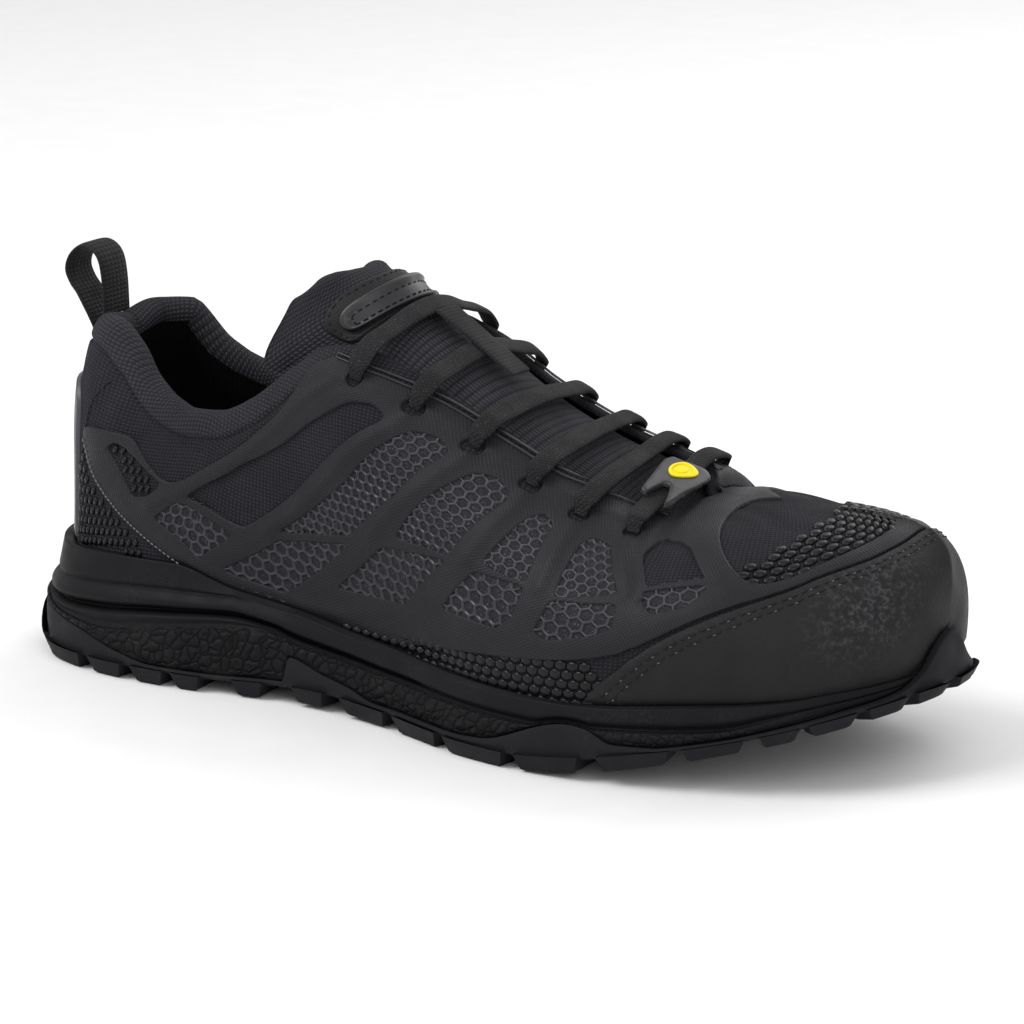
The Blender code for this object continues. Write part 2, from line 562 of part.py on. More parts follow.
def add_part(name, points, faces, colour, roughness, sharp=40):
    """A named solid from points and faces, welded, with its own material."""
    bm = bmesh.new()
    corners = [bm.verts.new(point) for point in points]
    for face in faces:
        if len(set(face)) > 2:
            bm.faces.new([corners[i] for i in face])
    bmesh.ops.remove_doubles(bm, verts=bm.verts, dist=WELD)
    bmesh.ops.dissolve_degenerate(bm, edges=bm.edges, dist=WELD)
    bmesh.ops.recalc_face_normals(bm, faces=bm.faces)
    mesh = bpy.data.meshes.new(name)
    bm.to_mesh(mesh)
    bm.free()
    mesh.shade_smooth()
    mesh.set_sharp_from_angle(angle=math.radians(sharp))
    mesh.materials.append(material(name, colour, roughness))
    part = bpy.data.objects.new(name, mesh)
    PARTS.objects.link(part)
    return part


def grid_faces(across, along, start=0, closed=False):
    """Quads of a grid whose points run along first: index = start + i * along + j."""
    faces = []
    for i in range(across if closed else across - 1):
        near, far = start + i * along, start + (i + 1) % across * along
        for j in range(along - 1):
            faces.append((near + j, far + j, far + j + 1, near + j + 1))
    return faces


def cap_faces(ring):
    """Strips across a ring, from each point of the outer side to its fellow."""
    count, half = len(ring), len(ring) // 2
    faces = [(ring[0], ring[1], ring[count - 1])]
    for i in range(1, half - 1):
        faces.append((ring[i], ring[i + 1], ring[count - i - 1], ring[count - i]))
    faces.append((ring[half - 1], ring[half], ring[half + 1]))
    return faces


def ring_solid(name, rings, colour, roughness):
    """A solid from rings round the shoe, each an inset and a height, capped at both ends."""
    points = []
    for inset, height in rings:
        plan = sole_edge(TURNS, np.broadcast_to(inset, TURNS.shape))[0]
        points.append(np.concatenate([plan, np.broadcast_to(height, TURNS.shape)[:, None]], -1))
    count = len(TURNS)
    points = np.stack(points, 1)
    faces = grid_faces(count, len(rings), closed=True)
    faces += cap_faces([i * len(rings) for i in range(count)])
    faces += cap_faces([i * len(rings) + len(rings) - 1 for i in range(count)])
    return add_part(name, points.reshape(-1, 3), faces, colour, roughness)


def rim_directions(edge, normal):
    """Directions out of the wall along a closed edge, square to the edge and the face."""
    tangent = unit(np.roll(edge, -1, axis=0) - np.roll(edge, 1, axis=0))
    return unit(np.cross(normal, tangent))


def upper():
    """The hollow upper: outer face, inner face and the rounded edge of its opening."""
    heights = np.linspace(0, 1, UPPER_ROWS + 1)
    turn, height = np.meshgrid(TURNS, heights, indexing="ij")
    outer = upper_point(turn, height)
    inner = upper_point(turn, height, -wall_at(turn, height))
    count, rows = len(TURNS), len(heights)
    open_columns = [i for i in range(count) if share_of(TURNS[i])[0] <= THROAT_FRONT + WELD]
    loop = open_columns[REAR_COLUMNS + 1:] + open_columns[:REAR_COLUMNS + 1]
    top_out, top_in = outer[loop, -1], inner[loop, -1]
    middle, across = (top_out + top_in) / 2, (top_out - top_in) / 2
    away = rim_directions(middle, surface_normal(TURNS[loop], np.ones(len(loop))))
    bulge = away * np.linalg.norm(across, axis=-1, keepdims=True)
    angles = np.linspace(0, math.pi, RIM_STEPS + 1)
    rim = np.stack([middle + across * math.cos(a) + bulge * math.sin(a) for a in angles], 1)
    points = np.concatenate([outer.reshape(-1, 3), inner.reshape(-1, 3), rim.reshape(-1, 3)])
    faces = grid_faces(count, rows, 0, closed=True)
    faces += grid_faces(count, rows, count * rows, closed=True)
    faces += grid_faces(len(loop), RIM_STEPS + 1, 2 * count * rows, closed=True)
    for i in range(count):
        near, far = i * rows, (i + 1) % count * rows
        faces.append((near, far, far + count * rows, near + count * rows))
    return add_part("upper", points, faces, TEXTILE, 0.9)


def hull_solid(low, high):
    """Points and faces of a block between two loops of the same number of points."""
    count = len(low)
    faces = [tuple(range(count)), tuple(range(count, 2 * count))]
    for i in range(count):
        j = (i + 1) % count
        faces.append((i, j, j + count, i + count))
    return list(low) + list(high), faces


def sole_floor(plan, rise):
    """Plan points at a height over the tread, thinned towards the toe like the lugs."""
    along = (plan[:, 0] + HEEL_TO_ORIGIN) / LENGTH
    thin = 1 - TOE_THINNING * ramp(along, 0.70, 0.90)
    return np.concatenate([plan, (spring(plan[:, 0]) + rise * thin)[:, None]], -1)


def edge_lug(row, side):
    """A lug at the sole's edge, as the loops of its tread and of its root in the base."""
    loops = []
    for draft, proud, depth, rise in ((LUG_DRAFT, 0.0, 0.0, 0.0),
                                      (0.0, LUG_PROUD, LUG_DRAFT / 2, LUG_DEPTH + LUG_EMBED)):
        shares = np.array([row.start + draft, row.end - draft])
        turns = shares if side == LATERAL else 2 - shares
        outer = sole_edge(turns, np.full(2, -proud))[0]
        inner = sole_edge(turns[::-1], np.full(2, row.reach * BALL_WIDTH + depth))[0]
        loops.append(sole_floor(np.concatenate([outer, inner]), rise))
    return hull_solid(*loops)


def middle_lug(row):
    centre = np.array([row.along * LENGTH - HEEL_TO_ORIGIN, row.across * BALL_WIDTH])
    angles = np.radians(np.arange(0, 360, 60))
    ring = np.stack([np.cos(angles), np.sin(angles)], -1)
    low = sole_floor(centre + ring * row.radius * LENGTH, 0.0)
    high = sole_floor(centre + ring * (row.radius * LENGTH + LUG_EMBED), LUG_DEPTH + LUG_EMBED)
    return hull_solid(low, high)


def helper(name, solids):
    """A mesh of several blocks that only serves in a Boolean."""
    points, faces = [], []
    for block_points, block_faces in solids:
        faces += [tuple(i + len(points) for i in face) for face in block_faces]
        points += [tuple(point) for point in block_points]
    made = add_part(name, points, faces, RUBBER, 0.6)
    PARTS.objects.unlink(made)
    CUTTERS.objects.link(made)
    made.hide_render = True
    made.display_type = "WIRE"
    return made


def boolean(part, other, operation):
    change = part.modifiers.new(operation.lower(), "BOOLEAN")
    change.operation = operation
    change.solver = "EXACT"
    change.object = other


def outsole():
    """Rubber base with an upturned edge, joined with its lugs."""
    wrap, bottom, top = wrap_height(TURNS), base_bottom(TURNS), base_top(TURNS)
    base = ring_solid("outsole", [
        (EDGE_BEVEL * 2, bottom),
        (0.0, bottom + EDGE_BEVEL),
        (0.0, wrap - EDGE_BEVEL / 2),
        (EDGE_BEVEL / 2, wrap),
        (WRAP_WALL, wrap),
        (WRAP_WALL, top),
    ], RUBBER, 0.6)
    lugs = [edge_lug(row, side) for row in EDGE_LUGS for side in (LATERAL, MEDIAL)]
    lugs.append(edge_lug(HEEL_LUG, LATERAL))
    lugs += [middle_lug(row) for row in MIDDLE_LUGS]
    boolean(base, helper("lugs", lugs), "UNION")


def midsole():
    """Foam between outsole and upper: footbed, rim, and a side with its lines."""
    rim = rim_height(TURNS)
    rings = [(WRAP_WALL + CLEARANCE, base_top(TURNS) + CLEARANCE),
             (WRAP_WALL + CLEARANCE, level_height(TURNS, 0))]
    rings += [(profile_inset(TURNS, row.level), level_height(TURNS, row.level))
              for row in PROFILE]
    inside = upper_inset(TURNS) - CLEARANCE
    flare = np.radians(np.maximum(smooth(RIBS, "flare", share_of(TURNS)[0]), 0))
    opened = inside - (rim - floor_height(TURNS)) * np.tan(flare)
    rings += [(opened, rim), (inside, floor_height(TURNS))]
    ring_solid("midsole", rings, FOAM, 0.7)


def insole():
    floor = floor_height(TURNS) + CLEARANCE
    inside = upper_inset(TURNS) + WALL + INSOLE_CLEAR
    ring_solid("insole", [
        (inside, floor),
        (inside, floor + INSOLE_THICKNESS - EDGE_BEVEL),
        (inside + EDGE_BEVEL, floor + INSOLE_THICKNESS),
    ], LINING, 0.9)


COLUMN_SHARES = TURNS[:REAR_COLUMNS + FRONT_COLUMNS + 1]
ROW_HEIGHTS = np.linspace(0, 1, UPPER_ROWS + 1)


def on_grid(grid, row, column):
    """A place on a grid of points, straight between its lines."""
    i = np.clip(np.floor(row).astype(int), 0, grid.shape[0] - 2)
    j = np.clip(np.floor(column).astype(int), 0, grid.shape[1] - 2)
    s, t = (row - i)[..., None], (column - j)[..., None]
    return ((grid[i, j] * (1 - s) + grid[i + 1, j] * s) * (1 - t)
            + (grid[i, j + 1] * (1 - s) + grid[i + 1, j + 1] * s) * t)


def inside_outline(points, outline):
    """Which points of a plane lie inside a closed outline."""
    inside = np.zeros(len(points), bool)
    for (x0, y0), (x1, y1) in zip(outline, outline[1:] + outline[:1]):
        if y0 == y1:
            continue
        spans = (points[:, 1] > min(y0, y1)) & (points[:, 1] <= max(y0, y1))
        inside ^= spans & (points[:, 0] < x0 + (points[:, 1] - y0) / (y1 - y0) * (x1 - x0))
    return inside


def cut_plane(outline, holes, columns, rows):
    """Triangles of an outline less its holes, also cut along lines of both directions."""
    points, edges = [], []
    for loop in [outline] + holes:
        start = len(points)
        points += [Vector(point) for point in loop]
        edges += [(start + i, start + (i + 1) % len(loop)) for i in range(len(loop))]
    left, right = min(p[0] for p in outline), max(p[0] for p in outline)
    low, high = min(p[1] for p in outline), max(p[1] for p in outline)
    lines = [((x, low), (x, high)) for x in columns if left < x < right]
    lines += [((left, y), (right, y)) for y in rows if low < y < high]
    for ends in lines:
        edges.append((len(points), len(points) + 1))
        points += [Vector(end) for end in ends]
    flat, _, faces, *_ = delaunay_2d_cdt(points, edges, [], 0, 1e-6)
    flat = np.array([tuple(point) for point in flat])
    middles = np.array([flat[list(face)].mean(axis=0) for face in faces])
    keep = inside_outline(middles, outline)
    for hole in holes:
        keep &= ~inside_outline(middles, hole)
    return flat, [tuple(face) for face, kept in zip(faces, keep) if kept]


def sheet(flat, faces, low_points, high_points, is_open):
    """A sheet between two faces, walled along its edge except where is_open is true."""
    count = len(flat)
    solid = [face[::-1] for face in faces]
    solid += [tuple(i + count for i in face) for face in faces]
    uses = {}
    for face in faces:
        for a, b in zip(face, face[1:] + face[:1]):
            uses.setdefault(frozenset((a, b)), []).append((a, b))
    for way in uses.values():
        if len(way) == 1:
            a, b = way[0]
            if not (is_open[a] and is_open[b] and on_one_line(flat[a], flat[b])):
                solid.append((a, b, b + count, a + count))
    return np.concatenate([low_points, high_points]), solid


def on_one_line(a, b):
    return abs(a[0] - b[0]) < WELD or abs(a[1] - b[1]) < WELD


def overlay(name, outline, holes, lift, thickness, colour, roughness):
    """A sheet over the upper on both sides, joined where the sides meet."""
    outline = along_rim(outline)
    flat, faces = cut_plane(outline, holes, COLUMN_SHARES[1:-1], ROW_HEIGHTS[1:-1])
    share, height = flat[:, 0], flat[:, 1]
    column = np.interp(share, COLUMN_SHARES, np.arange(len(COLUMN_SHARES)))
    meets = (share < WELD) | (share > 1 - WELD)
    meets |= (height > 1 - WELD) & (share > THROAT_FRONT)
    points, solid = [], []
    for side in (LATERAL, MEDIAL):
        turns = COLUMN_SHARES if side == LATERAL else 2 - COLUMN_SHARES
        turn, up = np.meshgrid(turns, ROW_HEIGHTS, indexing="ij")
        face = on_grid(upper_point(turn, up), column, height * UPPER_ROWS)
        out = on_grid(surface_normal(turn, up), column, height * UPPER_ROWS)
        made, made_faces = sheet(flat, faces, face + out * lift,
                                 face + out * (lift + thickness), meets)
        solid += [tuple(i + len(points) for i in f) for f in made_faces]
        points += list(made)
    return add_part(name, points, solid, colour, roughness)


def above_rim(share):
    """Height up the upper at which an overlay clears the midsole's rim."""
    heights = np.linspace(0, 0.3, 61)
    found = []
    for turn in (float(share), 2 - float(share)):
        z = upper_point(np.full(61, turn), heights)[:, 2]
        edge = max(rim_height(np.array(turn)), wrap_height(np.array(turn)))
        found.append(np.interp(edge + OVERLAY_LIFT, z, heights))
    return max(found)


def along_rim(outline):
    """An outline with its foot lifted clear of the rim all along."""
    lifted = []
    for (share, height), (after, up) in zip(outline, outline[1:] + outline[:1]):
        lifted.append((share, max(height, above_rim(share))))
        if height == up == 0:
            between = [x for x in COLUMN_SHARES if min(share, after) < x < max(share, after)]
            lifted += [(x, above_rim(x)) for x in sorted(between, reverse=after < share)]
    return lifted


def shifted(outline, across, up):
    return [(share + across, min(height + up, 1.0)) for share, height in outline]


def cage():
    """The film over the upper, with its windows: quarter, eyestay, vamp and counter."""
    seam = [mark for mark in shifted(CAP_SEAM, 0, SEAM_GAP) if mark[0] > 0.73]
    outline = FILM_REAR + seam + [(1.0, 1.0)] + VAMP_WINDOW + FILM_TOP
    made = overlay("cage", outline, WINDOWS, OVERLAY_LIFT, FILM_THICKNESS, FILM, 0.6)
    return made


def toe_cap():
    outline = CAP_SEAM + [(1.0, 0.0)]
    overlay("toe_cap", outline, [], OVERLAY_LIFT, CAP_THICKNESS, LEATHER, 0.55)


def heel_strip():
    overlay("heel_strip", HEEL_STRIP, [], OVERLAY_LIFT, STRIP_THICKNESS, GREY, 0.4)


def eyelet_cutters():
    """Pins square to the upper, one for each eyelet hole."""
    pins = []
    for row in EYELETS:
        for turn in (row.share, 2 - row.share):
            centre = upper_point(turn, row.height)
            out = surface_normal(*np.broadcast_arrays(np.array(turn), np.array(row.height)))
            across = unit(np.cross(out, [0.0, 1.0, 0.0]))
            other = np.cross(out, across)
            ring = [centre + (across * math.cos(a) + other * math.sin(a)) * EYELET_DIAMETER / 2
                    for a in np.radians(np.arange(0, 360, 60))]
            reach = out * (WALL * 2 + FILM_THICKNESS)
            pins.append(hull_solid([p - reach for p in ring], [p + reach for p in ring]))
    return helper("eyelet_pins", pins)


def bezier(a, b, c, d, t):
    t = np.asarray(t)[:, None]
    return a * (1 - t) ** 3 + b * 3 * t * (1 - t) ** 2 + c * 3 * t * t * (1 - t) + d * t ** 3


def evenly(line, count):
    """Points evenly spaced along a line of points."""
    way = np.concatenate([[0], np.cumsum(np.linalg.norm(np.diff(line, axis=0), axis=1))])
    at = np.linspace(0, way[-1], count)
    return np.stack([np.interp(at, way, line[:, axis]) for axis in range(3)], -1)


def under_upper(turn, height, deeper=0.0):
    depth = wall_at(np.asarray(turn), np.asarray(height)) + CLEARANCE + deeper
    return upper_point(turn, height, -depth)


def tongue_section(row):
    """Across the tongue under the throat: along the upper's inside, arched between."""
    sides = []
    for turn in (row.share, 2 - row.share):
        heights = np.linspace(row.wing, 1.0, 5)
        sides.append(under_upper(np.full(5, turn), heights, row.below))
    gap = np.linalg.norm(sides[0][-1] - sides[1][-1])
    if row.share >= THROAT_FRONT:
        return evenly(np.concatenate([sides[0], sides[1][-2::-1]]), TONGUE_COLUMNS)
    pulls = [unit(side[-1] - side[-2]) * gap * row.crown for side in sides]
    arch = bezier(sides[0][-1], sides[0][-1] + pulls[0], sides[1][-1] + pulls[1],
                  sides[1][-1], np.linspace(0, 1, 9))
    return evenly(np.concatenate([sides[0][:-1], arch, sides[1][-2::-1]]), TONGUE_COLUMNS)


def free_section(row):
    """Across the tongue above the throat: half an ellipse from edge to edge."""
    angles = np.linspace(-math.pi / 2, math.pi / 2, 25)
    front = np.array([row.front_along * LENGTH - HEEL_TO_ORIGIN, 0, row.front_up * INSTEP_HEIGHT])
    edge = np.array([row.edge_along * LENGTH - HEEL_TO_ORIGIN, 0, row.edge_up * INSTEP_HEIGHT])
    ring = edge + (front - edge) * np.cos(angles)[:, None]
    ring[:, 1] = np.sin(angles) * row.half * BALL_WIDTH
    return evenly(ring, TONGUE_COLUMNS)


def tongue_grid():
    """Outer face of the tongue as a grid of points, with its normals and thickness."""
    rows = [tongue_section(row) for row in TONGUE_BED] + [free_section(row) for row in TONGUE_FREE]
    points = np.stack(rows)
    normals = unit(np.cross(np.gradient(points, axis=1), np.gradient(points, axis=0)))
    thickness = np.array([row.thickness for row in TONGUE_BED + TONGUE_FREE]) * INSTEP_HEIGHT
    return points, normals, thickness


TONGUE_POINTS, TONGUE_NORMALS, TONGUE_THICKNESS = tongue_grid()


def tongue():
    """Padded tongue with a rounded top edge."""
    taper = 1 - 0.45 * np.abs(np.linspace(-1, 1, TONGUE_COLUMNS)) ** 3
    outer = TONGUE_POINTS
    inner = outer - TONGUE_NORMALS * (TONGUE_THICKNESS[:, None] * taper)[..., None]
    middle, across = (outer[-1] + inner[-1]) / 2, (outer[-1] - inner[-1]) / 2
    away = rim_away(outer[-1], outer[-2], TONGUE_NORMALS[-1])
    bulge = away * np.linalg.norm(across, axis=-1, keepdims=True)
    cap = [middle + across * math.cos(a) + bulge * math.sin(a) for a in np.radians([45, 90, 135])]
    rows = list(outer) + cap + list(inner[::-1])
    count, columns, last = len(rows), TONGUE_COLUMNS, len(outer) - 1
    faces = grid_faces(count, columns, 0, closed=True)
    for j in (0, columns - 1):
        at = [i * columns + j for i in range(count)]
        faces += [(at[i], at[i + 1], at[count - 2 - i], at[count - 1 - i]) for i in range(last)]
        faces.append(tuple(at[last:last + 5]))
    add_part("tongue", np.concatenate(rows), faces, TEXTILE, 0.9)


def rim_away(edge, behind, normal):
    """Direction from a line of points on towards its free side, square to the normal."""
    away = edge - behind
    return unit(away - normal * (away * normal).sum(-1, keepdims=True))


def plate(name, grid, normals, outline, low, thickness, colour, roughness):
    """A plate that follows a grid of points at a lift."""
    flat, faces = cut_plane(outline, [], range(grid.shape[0]), range(grid.shape[1]))
    face = on_grid(grid, flat[:, 0], flat[:, 1])
    out = on_grid(normals, flat[:, 0], flat[:, 1])
    points, solid = sheet(flat, faces, face + out * low, face + out * (low + thickness),
                          np.zeros(len(flat), bool))
    add_part(name, points, solid, colour, roughness)


def band(name, left, right, normals, low, thickness, colour, roughness=0.9):
    """A flat woven band between two lines of points, with rounded edges."""
    across = right - left
    section = [(0.00, 0.5), (0.12, 1.0), (0.88, 1.0), (1.00, 0.5), (0.88, 0.0), (0.12, 0.0)]
    rows = np.stack([left + across * at + normals * (low + thickness * up)
                     for at, up in section], 1)
    count, sides = len(left), len(section)
    faces = []
    for i in range(count - 1):
        for j in range(sides):
            k = (j + 1) % sides
            faces.append((i * sides + j, (i + 1) * sides + j, (i + 1) * sides + k, i * sides + k))
    faces += [tuple(range(sides)), tuple((count - 1) * sides + j for j in range(sides))]
    add_part(name, rows.reshape(-1, 3), faces, colour, roughness)


def lace_line(share, height):
    """Line over the shoe from one eyelet to the other: film, throat's edge and tongue."""
    lines = []
    film = OVERLAY_LIFT + FILM_THICKNESS + CLEARANCE
    for turn in (share, 2 - share):
        heights = np.array([height, (height + 1) / 2, 0.985])
        lines.append(upper_point(np.full(3, turn), heights, film))
    bed = np.interp(share, [row.share for row in TONGUE_BED[::-1]],
                    np.arange(len(TONGUE_BED))[::-1])
    columns = np.linspace(0, TONGUE_COLUMNS - 1, 33)
    crown = on_grid(TONGUE_POINTS, np.full(33, bed), columns)
    out = on_grid(TONGUE_NORMALS, np.full(33, bed), columns)
    crown = crown + out * 2 * OVERLAY_LIFT
    near, far = lines[0][-1], lines[1][-1]
    between = (crown[:, 1] > near[1] + 0.003) & (crown[:, 1] < far[1] - 0.003)
    whole = np.concatenate([lines[0], crown[between], lines[1][::-1]])
    return taut(whole)


def taut(line):
    """The line pulled tight over what it passes, seen from the toe."""
    kept = [line[0]]
    for point in line[1:]:
        while len(kept) > 1:
            a, b = kept[-2], kept[-1]
            if (b[2] - a[2]) * (point[1] - a[1]) <= (point[2] - a[2]) * (b[1] - a[1]):
                kept.pop()
            else:
                break
        kept.append(point)
    return evenly(np.array(kept), LACE_STEPS)


def lace_frame(share, height):
    """The line of a lace bar with its sideways and outward directions."""
    middle = lace_line(share, height)
    tangent = unit(np.gradient(middle, axis=0))
    along = lace_line(share - 0.01, height) - lace_line(share + 0.01, height)
    sideways = unit(along - tangent * (along * tangent).sum(-1, keepdims=True))
    normals = unit(np.cross(tangent, sideways))
    return middle, sideways, normals * np.sign(normals[:, 2:])


def lace_bars():
    """Straight bars of lace, one over each pair of eyelets."""
    for number, row in enumerate(EYELETS, 1):
        middle, sideways, normals = lace_frame(row.share, row.height)
        reach = sideways * LACE_WIDTH / 2
        band(f"lace_bar_{number}", middle - reach, middle + reach, normals,
             OVERLAY_LIFT, LACE_THICKNESS, TEXTILE)


def over_laces(name, shares, height, outline, low, thickness, colour, roughness):
    """A plate that follows the laces over a stretch of the throat."""
    frames = [lace_frame(share, height) for share in np.linspace(*shares, PLATE_ROWS)]
    grid, normals = np.stack([f[0] for f in frames]), np.stack([f[2] for f in frames])
    plate(name, grid, normals, outline, low, thickness, colour, roughness)
    return grid, normals


def lace_keeper():
    """Webbing strap on the tongue's middle, over the second bar."""
    low = OVERLAY_LIFT + LACE_THICKNESS + CLEARANCE
    over_laces("lace_keeper", KEEPER_SHARES, EYELETS[1].height, LACE_KEEPER, low,
               PATCH_THICKNESS, TEXTILE, 0.9)


def lace_tag():
    """Plastic tag over the bar nearest the toe, with a plain round emblem."""
    low = OVERLAY_LIFT + LACE_THICKNESS + TAG_GAP
    grid, normals = over_laces("lace_tag", TAG_SHARES, EYELETS[-1].height, LACE_TAG, low,
                               TAG_THICKNESS, FILM, 0.35)
    row, column = np.array(TAG_CENTRE)[:, None]
    centre, out = on_grid(grid, row, column)[0], unit(on_grid(normals, row, column)[0])
    across = unit(np.cross(out, [0.0, 1.0, 0.0]))
    other = np.cross(out, across)
    ring = np.array([centre + (across * math.cos(a) + other * math.sin(a)) * EMBLEM_RADIUS
                     for a in np.radians(np.arange(0, 360, 30))])
    low += TAG_THICKNESS + EMBLEM_GAP
    points, faces = hull_solid(ring + out * low, ring + out * (low + EMBLEM_THICKNESS))
    add_part("tag_emblem", points, faces, YELLOW, 0.5)


def pull_loop():
    """Webbing loop at the heel, from the back of the upper over to the collar."""
    foot = upper_point(np.zeros(2), np.array([0.86, 0.93]), OVERLAY_LIFT)
    side = [(row.along * LENGTH - HEEL_TO_ORIGIN, 0.0, row.up * INSTEP_HEIGHT)
            for row in PULL_LOOP]
    line = np.concatenate([foot, side])
    line[:, 1] = 0
    tangent = unit(np.gradient(line, axis=0))
    normals = np.stack([-tangent[:, 2], tangent[:, 1], tangent[:, 0]], -1)
    reach = np.array([0.0, LOOP_WIDTH / 2, 0.0])
    band("pull_loop", line - reach, line + reach, normals, 0.0, LOOP_THICKNESS, TEXTILE)


def main():
    shell = upper()
    film = cage()
    pins = eyelet_cutters()
    boolean(shell, pins, "DIFFERENCE")
    boolean(film, pins, "DIFFERENCE")
    midsole()
    outsole()
    insole()
    toe_cap()
    heel_strip()
    tongue()
    on_tongue = TONGUE_POINTS, TONGUE_NORMALS
    plate("tongue_patch", *on_tongue, TONGUE_PATCH, PLATE_LIFT, PATCH_THICKNESS,
          LEATHER, 0.5)
    plate("tongue_badge", *on_tongue, TONGUE_BADGE, PLATE_LIFT + OVERLAY_LIFT + PATCH_THICKNESS,
          BADGE_THICKNESS, FILM, 0.4)
    lace_bars()
    lace_keeper()
    lace_tag()
    pull_loop()


main()
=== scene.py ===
"""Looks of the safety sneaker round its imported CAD. Metres; +X to the toe, +Z up.
The shape functions and their tables are the same as the part's."""
from collections import namedtuple

import bmesh
import bpy
import numpy as np
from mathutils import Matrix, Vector
from mathutils.geometry import delaunay_2d_cdt


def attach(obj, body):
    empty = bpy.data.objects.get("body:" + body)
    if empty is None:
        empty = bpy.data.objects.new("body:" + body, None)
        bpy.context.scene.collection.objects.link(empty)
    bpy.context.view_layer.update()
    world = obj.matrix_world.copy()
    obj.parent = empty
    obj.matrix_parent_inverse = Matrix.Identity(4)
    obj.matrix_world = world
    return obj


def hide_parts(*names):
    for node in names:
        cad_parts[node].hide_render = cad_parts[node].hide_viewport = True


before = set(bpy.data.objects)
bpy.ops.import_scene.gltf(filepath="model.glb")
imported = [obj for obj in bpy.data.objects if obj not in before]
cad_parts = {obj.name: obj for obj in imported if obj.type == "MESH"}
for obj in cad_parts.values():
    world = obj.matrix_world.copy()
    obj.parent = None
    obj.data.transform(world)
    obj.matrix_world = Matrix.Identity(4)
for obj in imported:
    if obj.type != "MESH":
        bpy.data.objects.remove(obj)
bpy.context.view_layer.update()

# Driving sizes
LENGTH = 0.300
BALL_WIDTH = 0.108
INSTEP_HEIGHT = 0.108
TOE_HEIGHT = 0.068
HEEL_STACK = 0.039
HEEL_TO_ORIGIN = 0.045

# Walls, fits and small sizes
CLEARANCE = 0.0003
WALL = 0.0022
COLLAR_PAD = 0.0085
LUG_DEPTH = 0.0038
BASE_THICKNESS = 0.0016
WRAP_WALL = 0.0020
WRAP_LEAST = 0.0004
FOOTBED_LEAST = 0.0012
TOE_THINNING = 0.30
RIM_LIP = 0.0040
RIM_LEAST = 0.0010
EDGE_BEVEL = 0.0009
OVERLAY_LIFT = 0.0008
FILM_THICKNESS = 0.0009
EYELET_DIAMETER = 0.0046
LACE_WIDTH = 0.0064
LACE_THICKNESS = 0.0018
LOOP_WIDTH = 0.013
LOOP_THICKNESS = 0.0016
LUG_PROUD = 0.0008
LUG_EMBED = 0.0014
LUG_DRAFT = 0.0025
TAG_GAP = 0.0008
EMBLEM_RADIUS = 0.0041

LATERAL, MEDIAL = -1, 1

# Plan of the sole: shares of LENGTH, then shares of BALL_WIDTH to either side
Plan = namedtuple("Plan", "along lateral medial")
PLAN = [
    Plan(0.000, 0.000, 0.000),
    Plan(0.012, 0.150, 0.150),
    Plan(0.050, 0.285, 0.280),
    Plan(0.120, 0.365, 0.350),
    Plan(0.220, 0.385, 0.355),
    Plan(0.350, 0.352, 0.325),
    Plan(0.480, 0.412, 0.325),
    Plan(0.600, 0.528, 0.390),
    Plan(0.700, 0.558, 0.445),
    Plan(0.800, 0.520, 0.470),
    Plan(0.890, 0.420, 0.450),
    Plan(0.950, 0.290, 0.385),
    Plan(0.988, 0.110, 0.255),
    Plan(1.000, -0.070, 0.070),
]

# Height of the tread over the ground, in shares of TOE_HEIGHT, by share of LENGTH
Spring = namedtuple("Spring", "along height")
SPRING = [
    Spring(0.000, 0.120),
    Spring(0.030, 0.020),
    Spring(0.055, 0.000),
    Spring(0.250, 0.000),
    Spring(0.400, 0.018),
    Spring(0.530, 0.000),
    Spring(0.640, 0.000),
    Spring(0.720, 0.030),
    Spring(0.800, 0.100),
    Spring(0.900, 0.205),
    Spring(1.000, 0.330),
]

# Side of the sole by share of the way round from heel to toe: top of the midsole's rim
# in shares of HEEL_STACK, and how far in the upper stands in shares of BALL_WIDTH
Side = namedtuple("Side", "share rim upper_inset")
SIDE = [
    Side(0.00, 0.900, 0.085), Side(0.10, 0.890, 0.085), Side(0.18, 0.925, 0.078),
    Side(0.24, 0.935, 0.070), Side(0.30, 0.795, 0.065), Side(0.36, 0.710, 0.059),
    Side(0.42, 0.640, 0.056), Side(0.52, 0.585, 0.050), Side(0.66, 0.555, 0.045),
    Side(0.76, 0.625, 0.044), Side(0.84, 0.675, 0.042), Side(0.89, 0.725, 0.039),
    Side(0.92, 0.740, 0.038), Side(0.95, 0.755, 0.037), Side(1.00, 0.770, 0.037),
]

# Top of the outsole's upturned edge, in shares of HEEL_STACK: up round the heel and the
# toe, and in a fin behind the arch and another at the ball
Wrap = namedtuple("Wrap", "share height")
WRAP = [
    Wrap(0.000, 0.460), Wrap(0.060, 0.440), Wrap(0.096, 0.390), Wrap(0.147, 0.310),
    Wrap(0.190, 0.205), Wrap(0.225, 0.150), Wrap(0.330, 0.140), Wrap(0.350, 0.150),
    Wrap(0.357, 0.370), Wrap(0.391, 0.287), Wrap(0.419, 0.236), Wrap(0.450, 0.165),
    Wrap(0.540, 0.154), Wrap(0.580, 0.175), Wrap(0.668, 0.415), Wrap(0.682, 0.400),
    Wrap(0.705, 0.303), Wrap(0.737, 0.308), Wrap(0.776, 0.344), Wrap(0.822, 0.446),
    Wrap(0.885, 0.585), Wrap(0.941, 0.680), Wrap(0.963, 0.780), Wrap(0.985, 0.970),
    Wrap(1.000, 1.040),
]

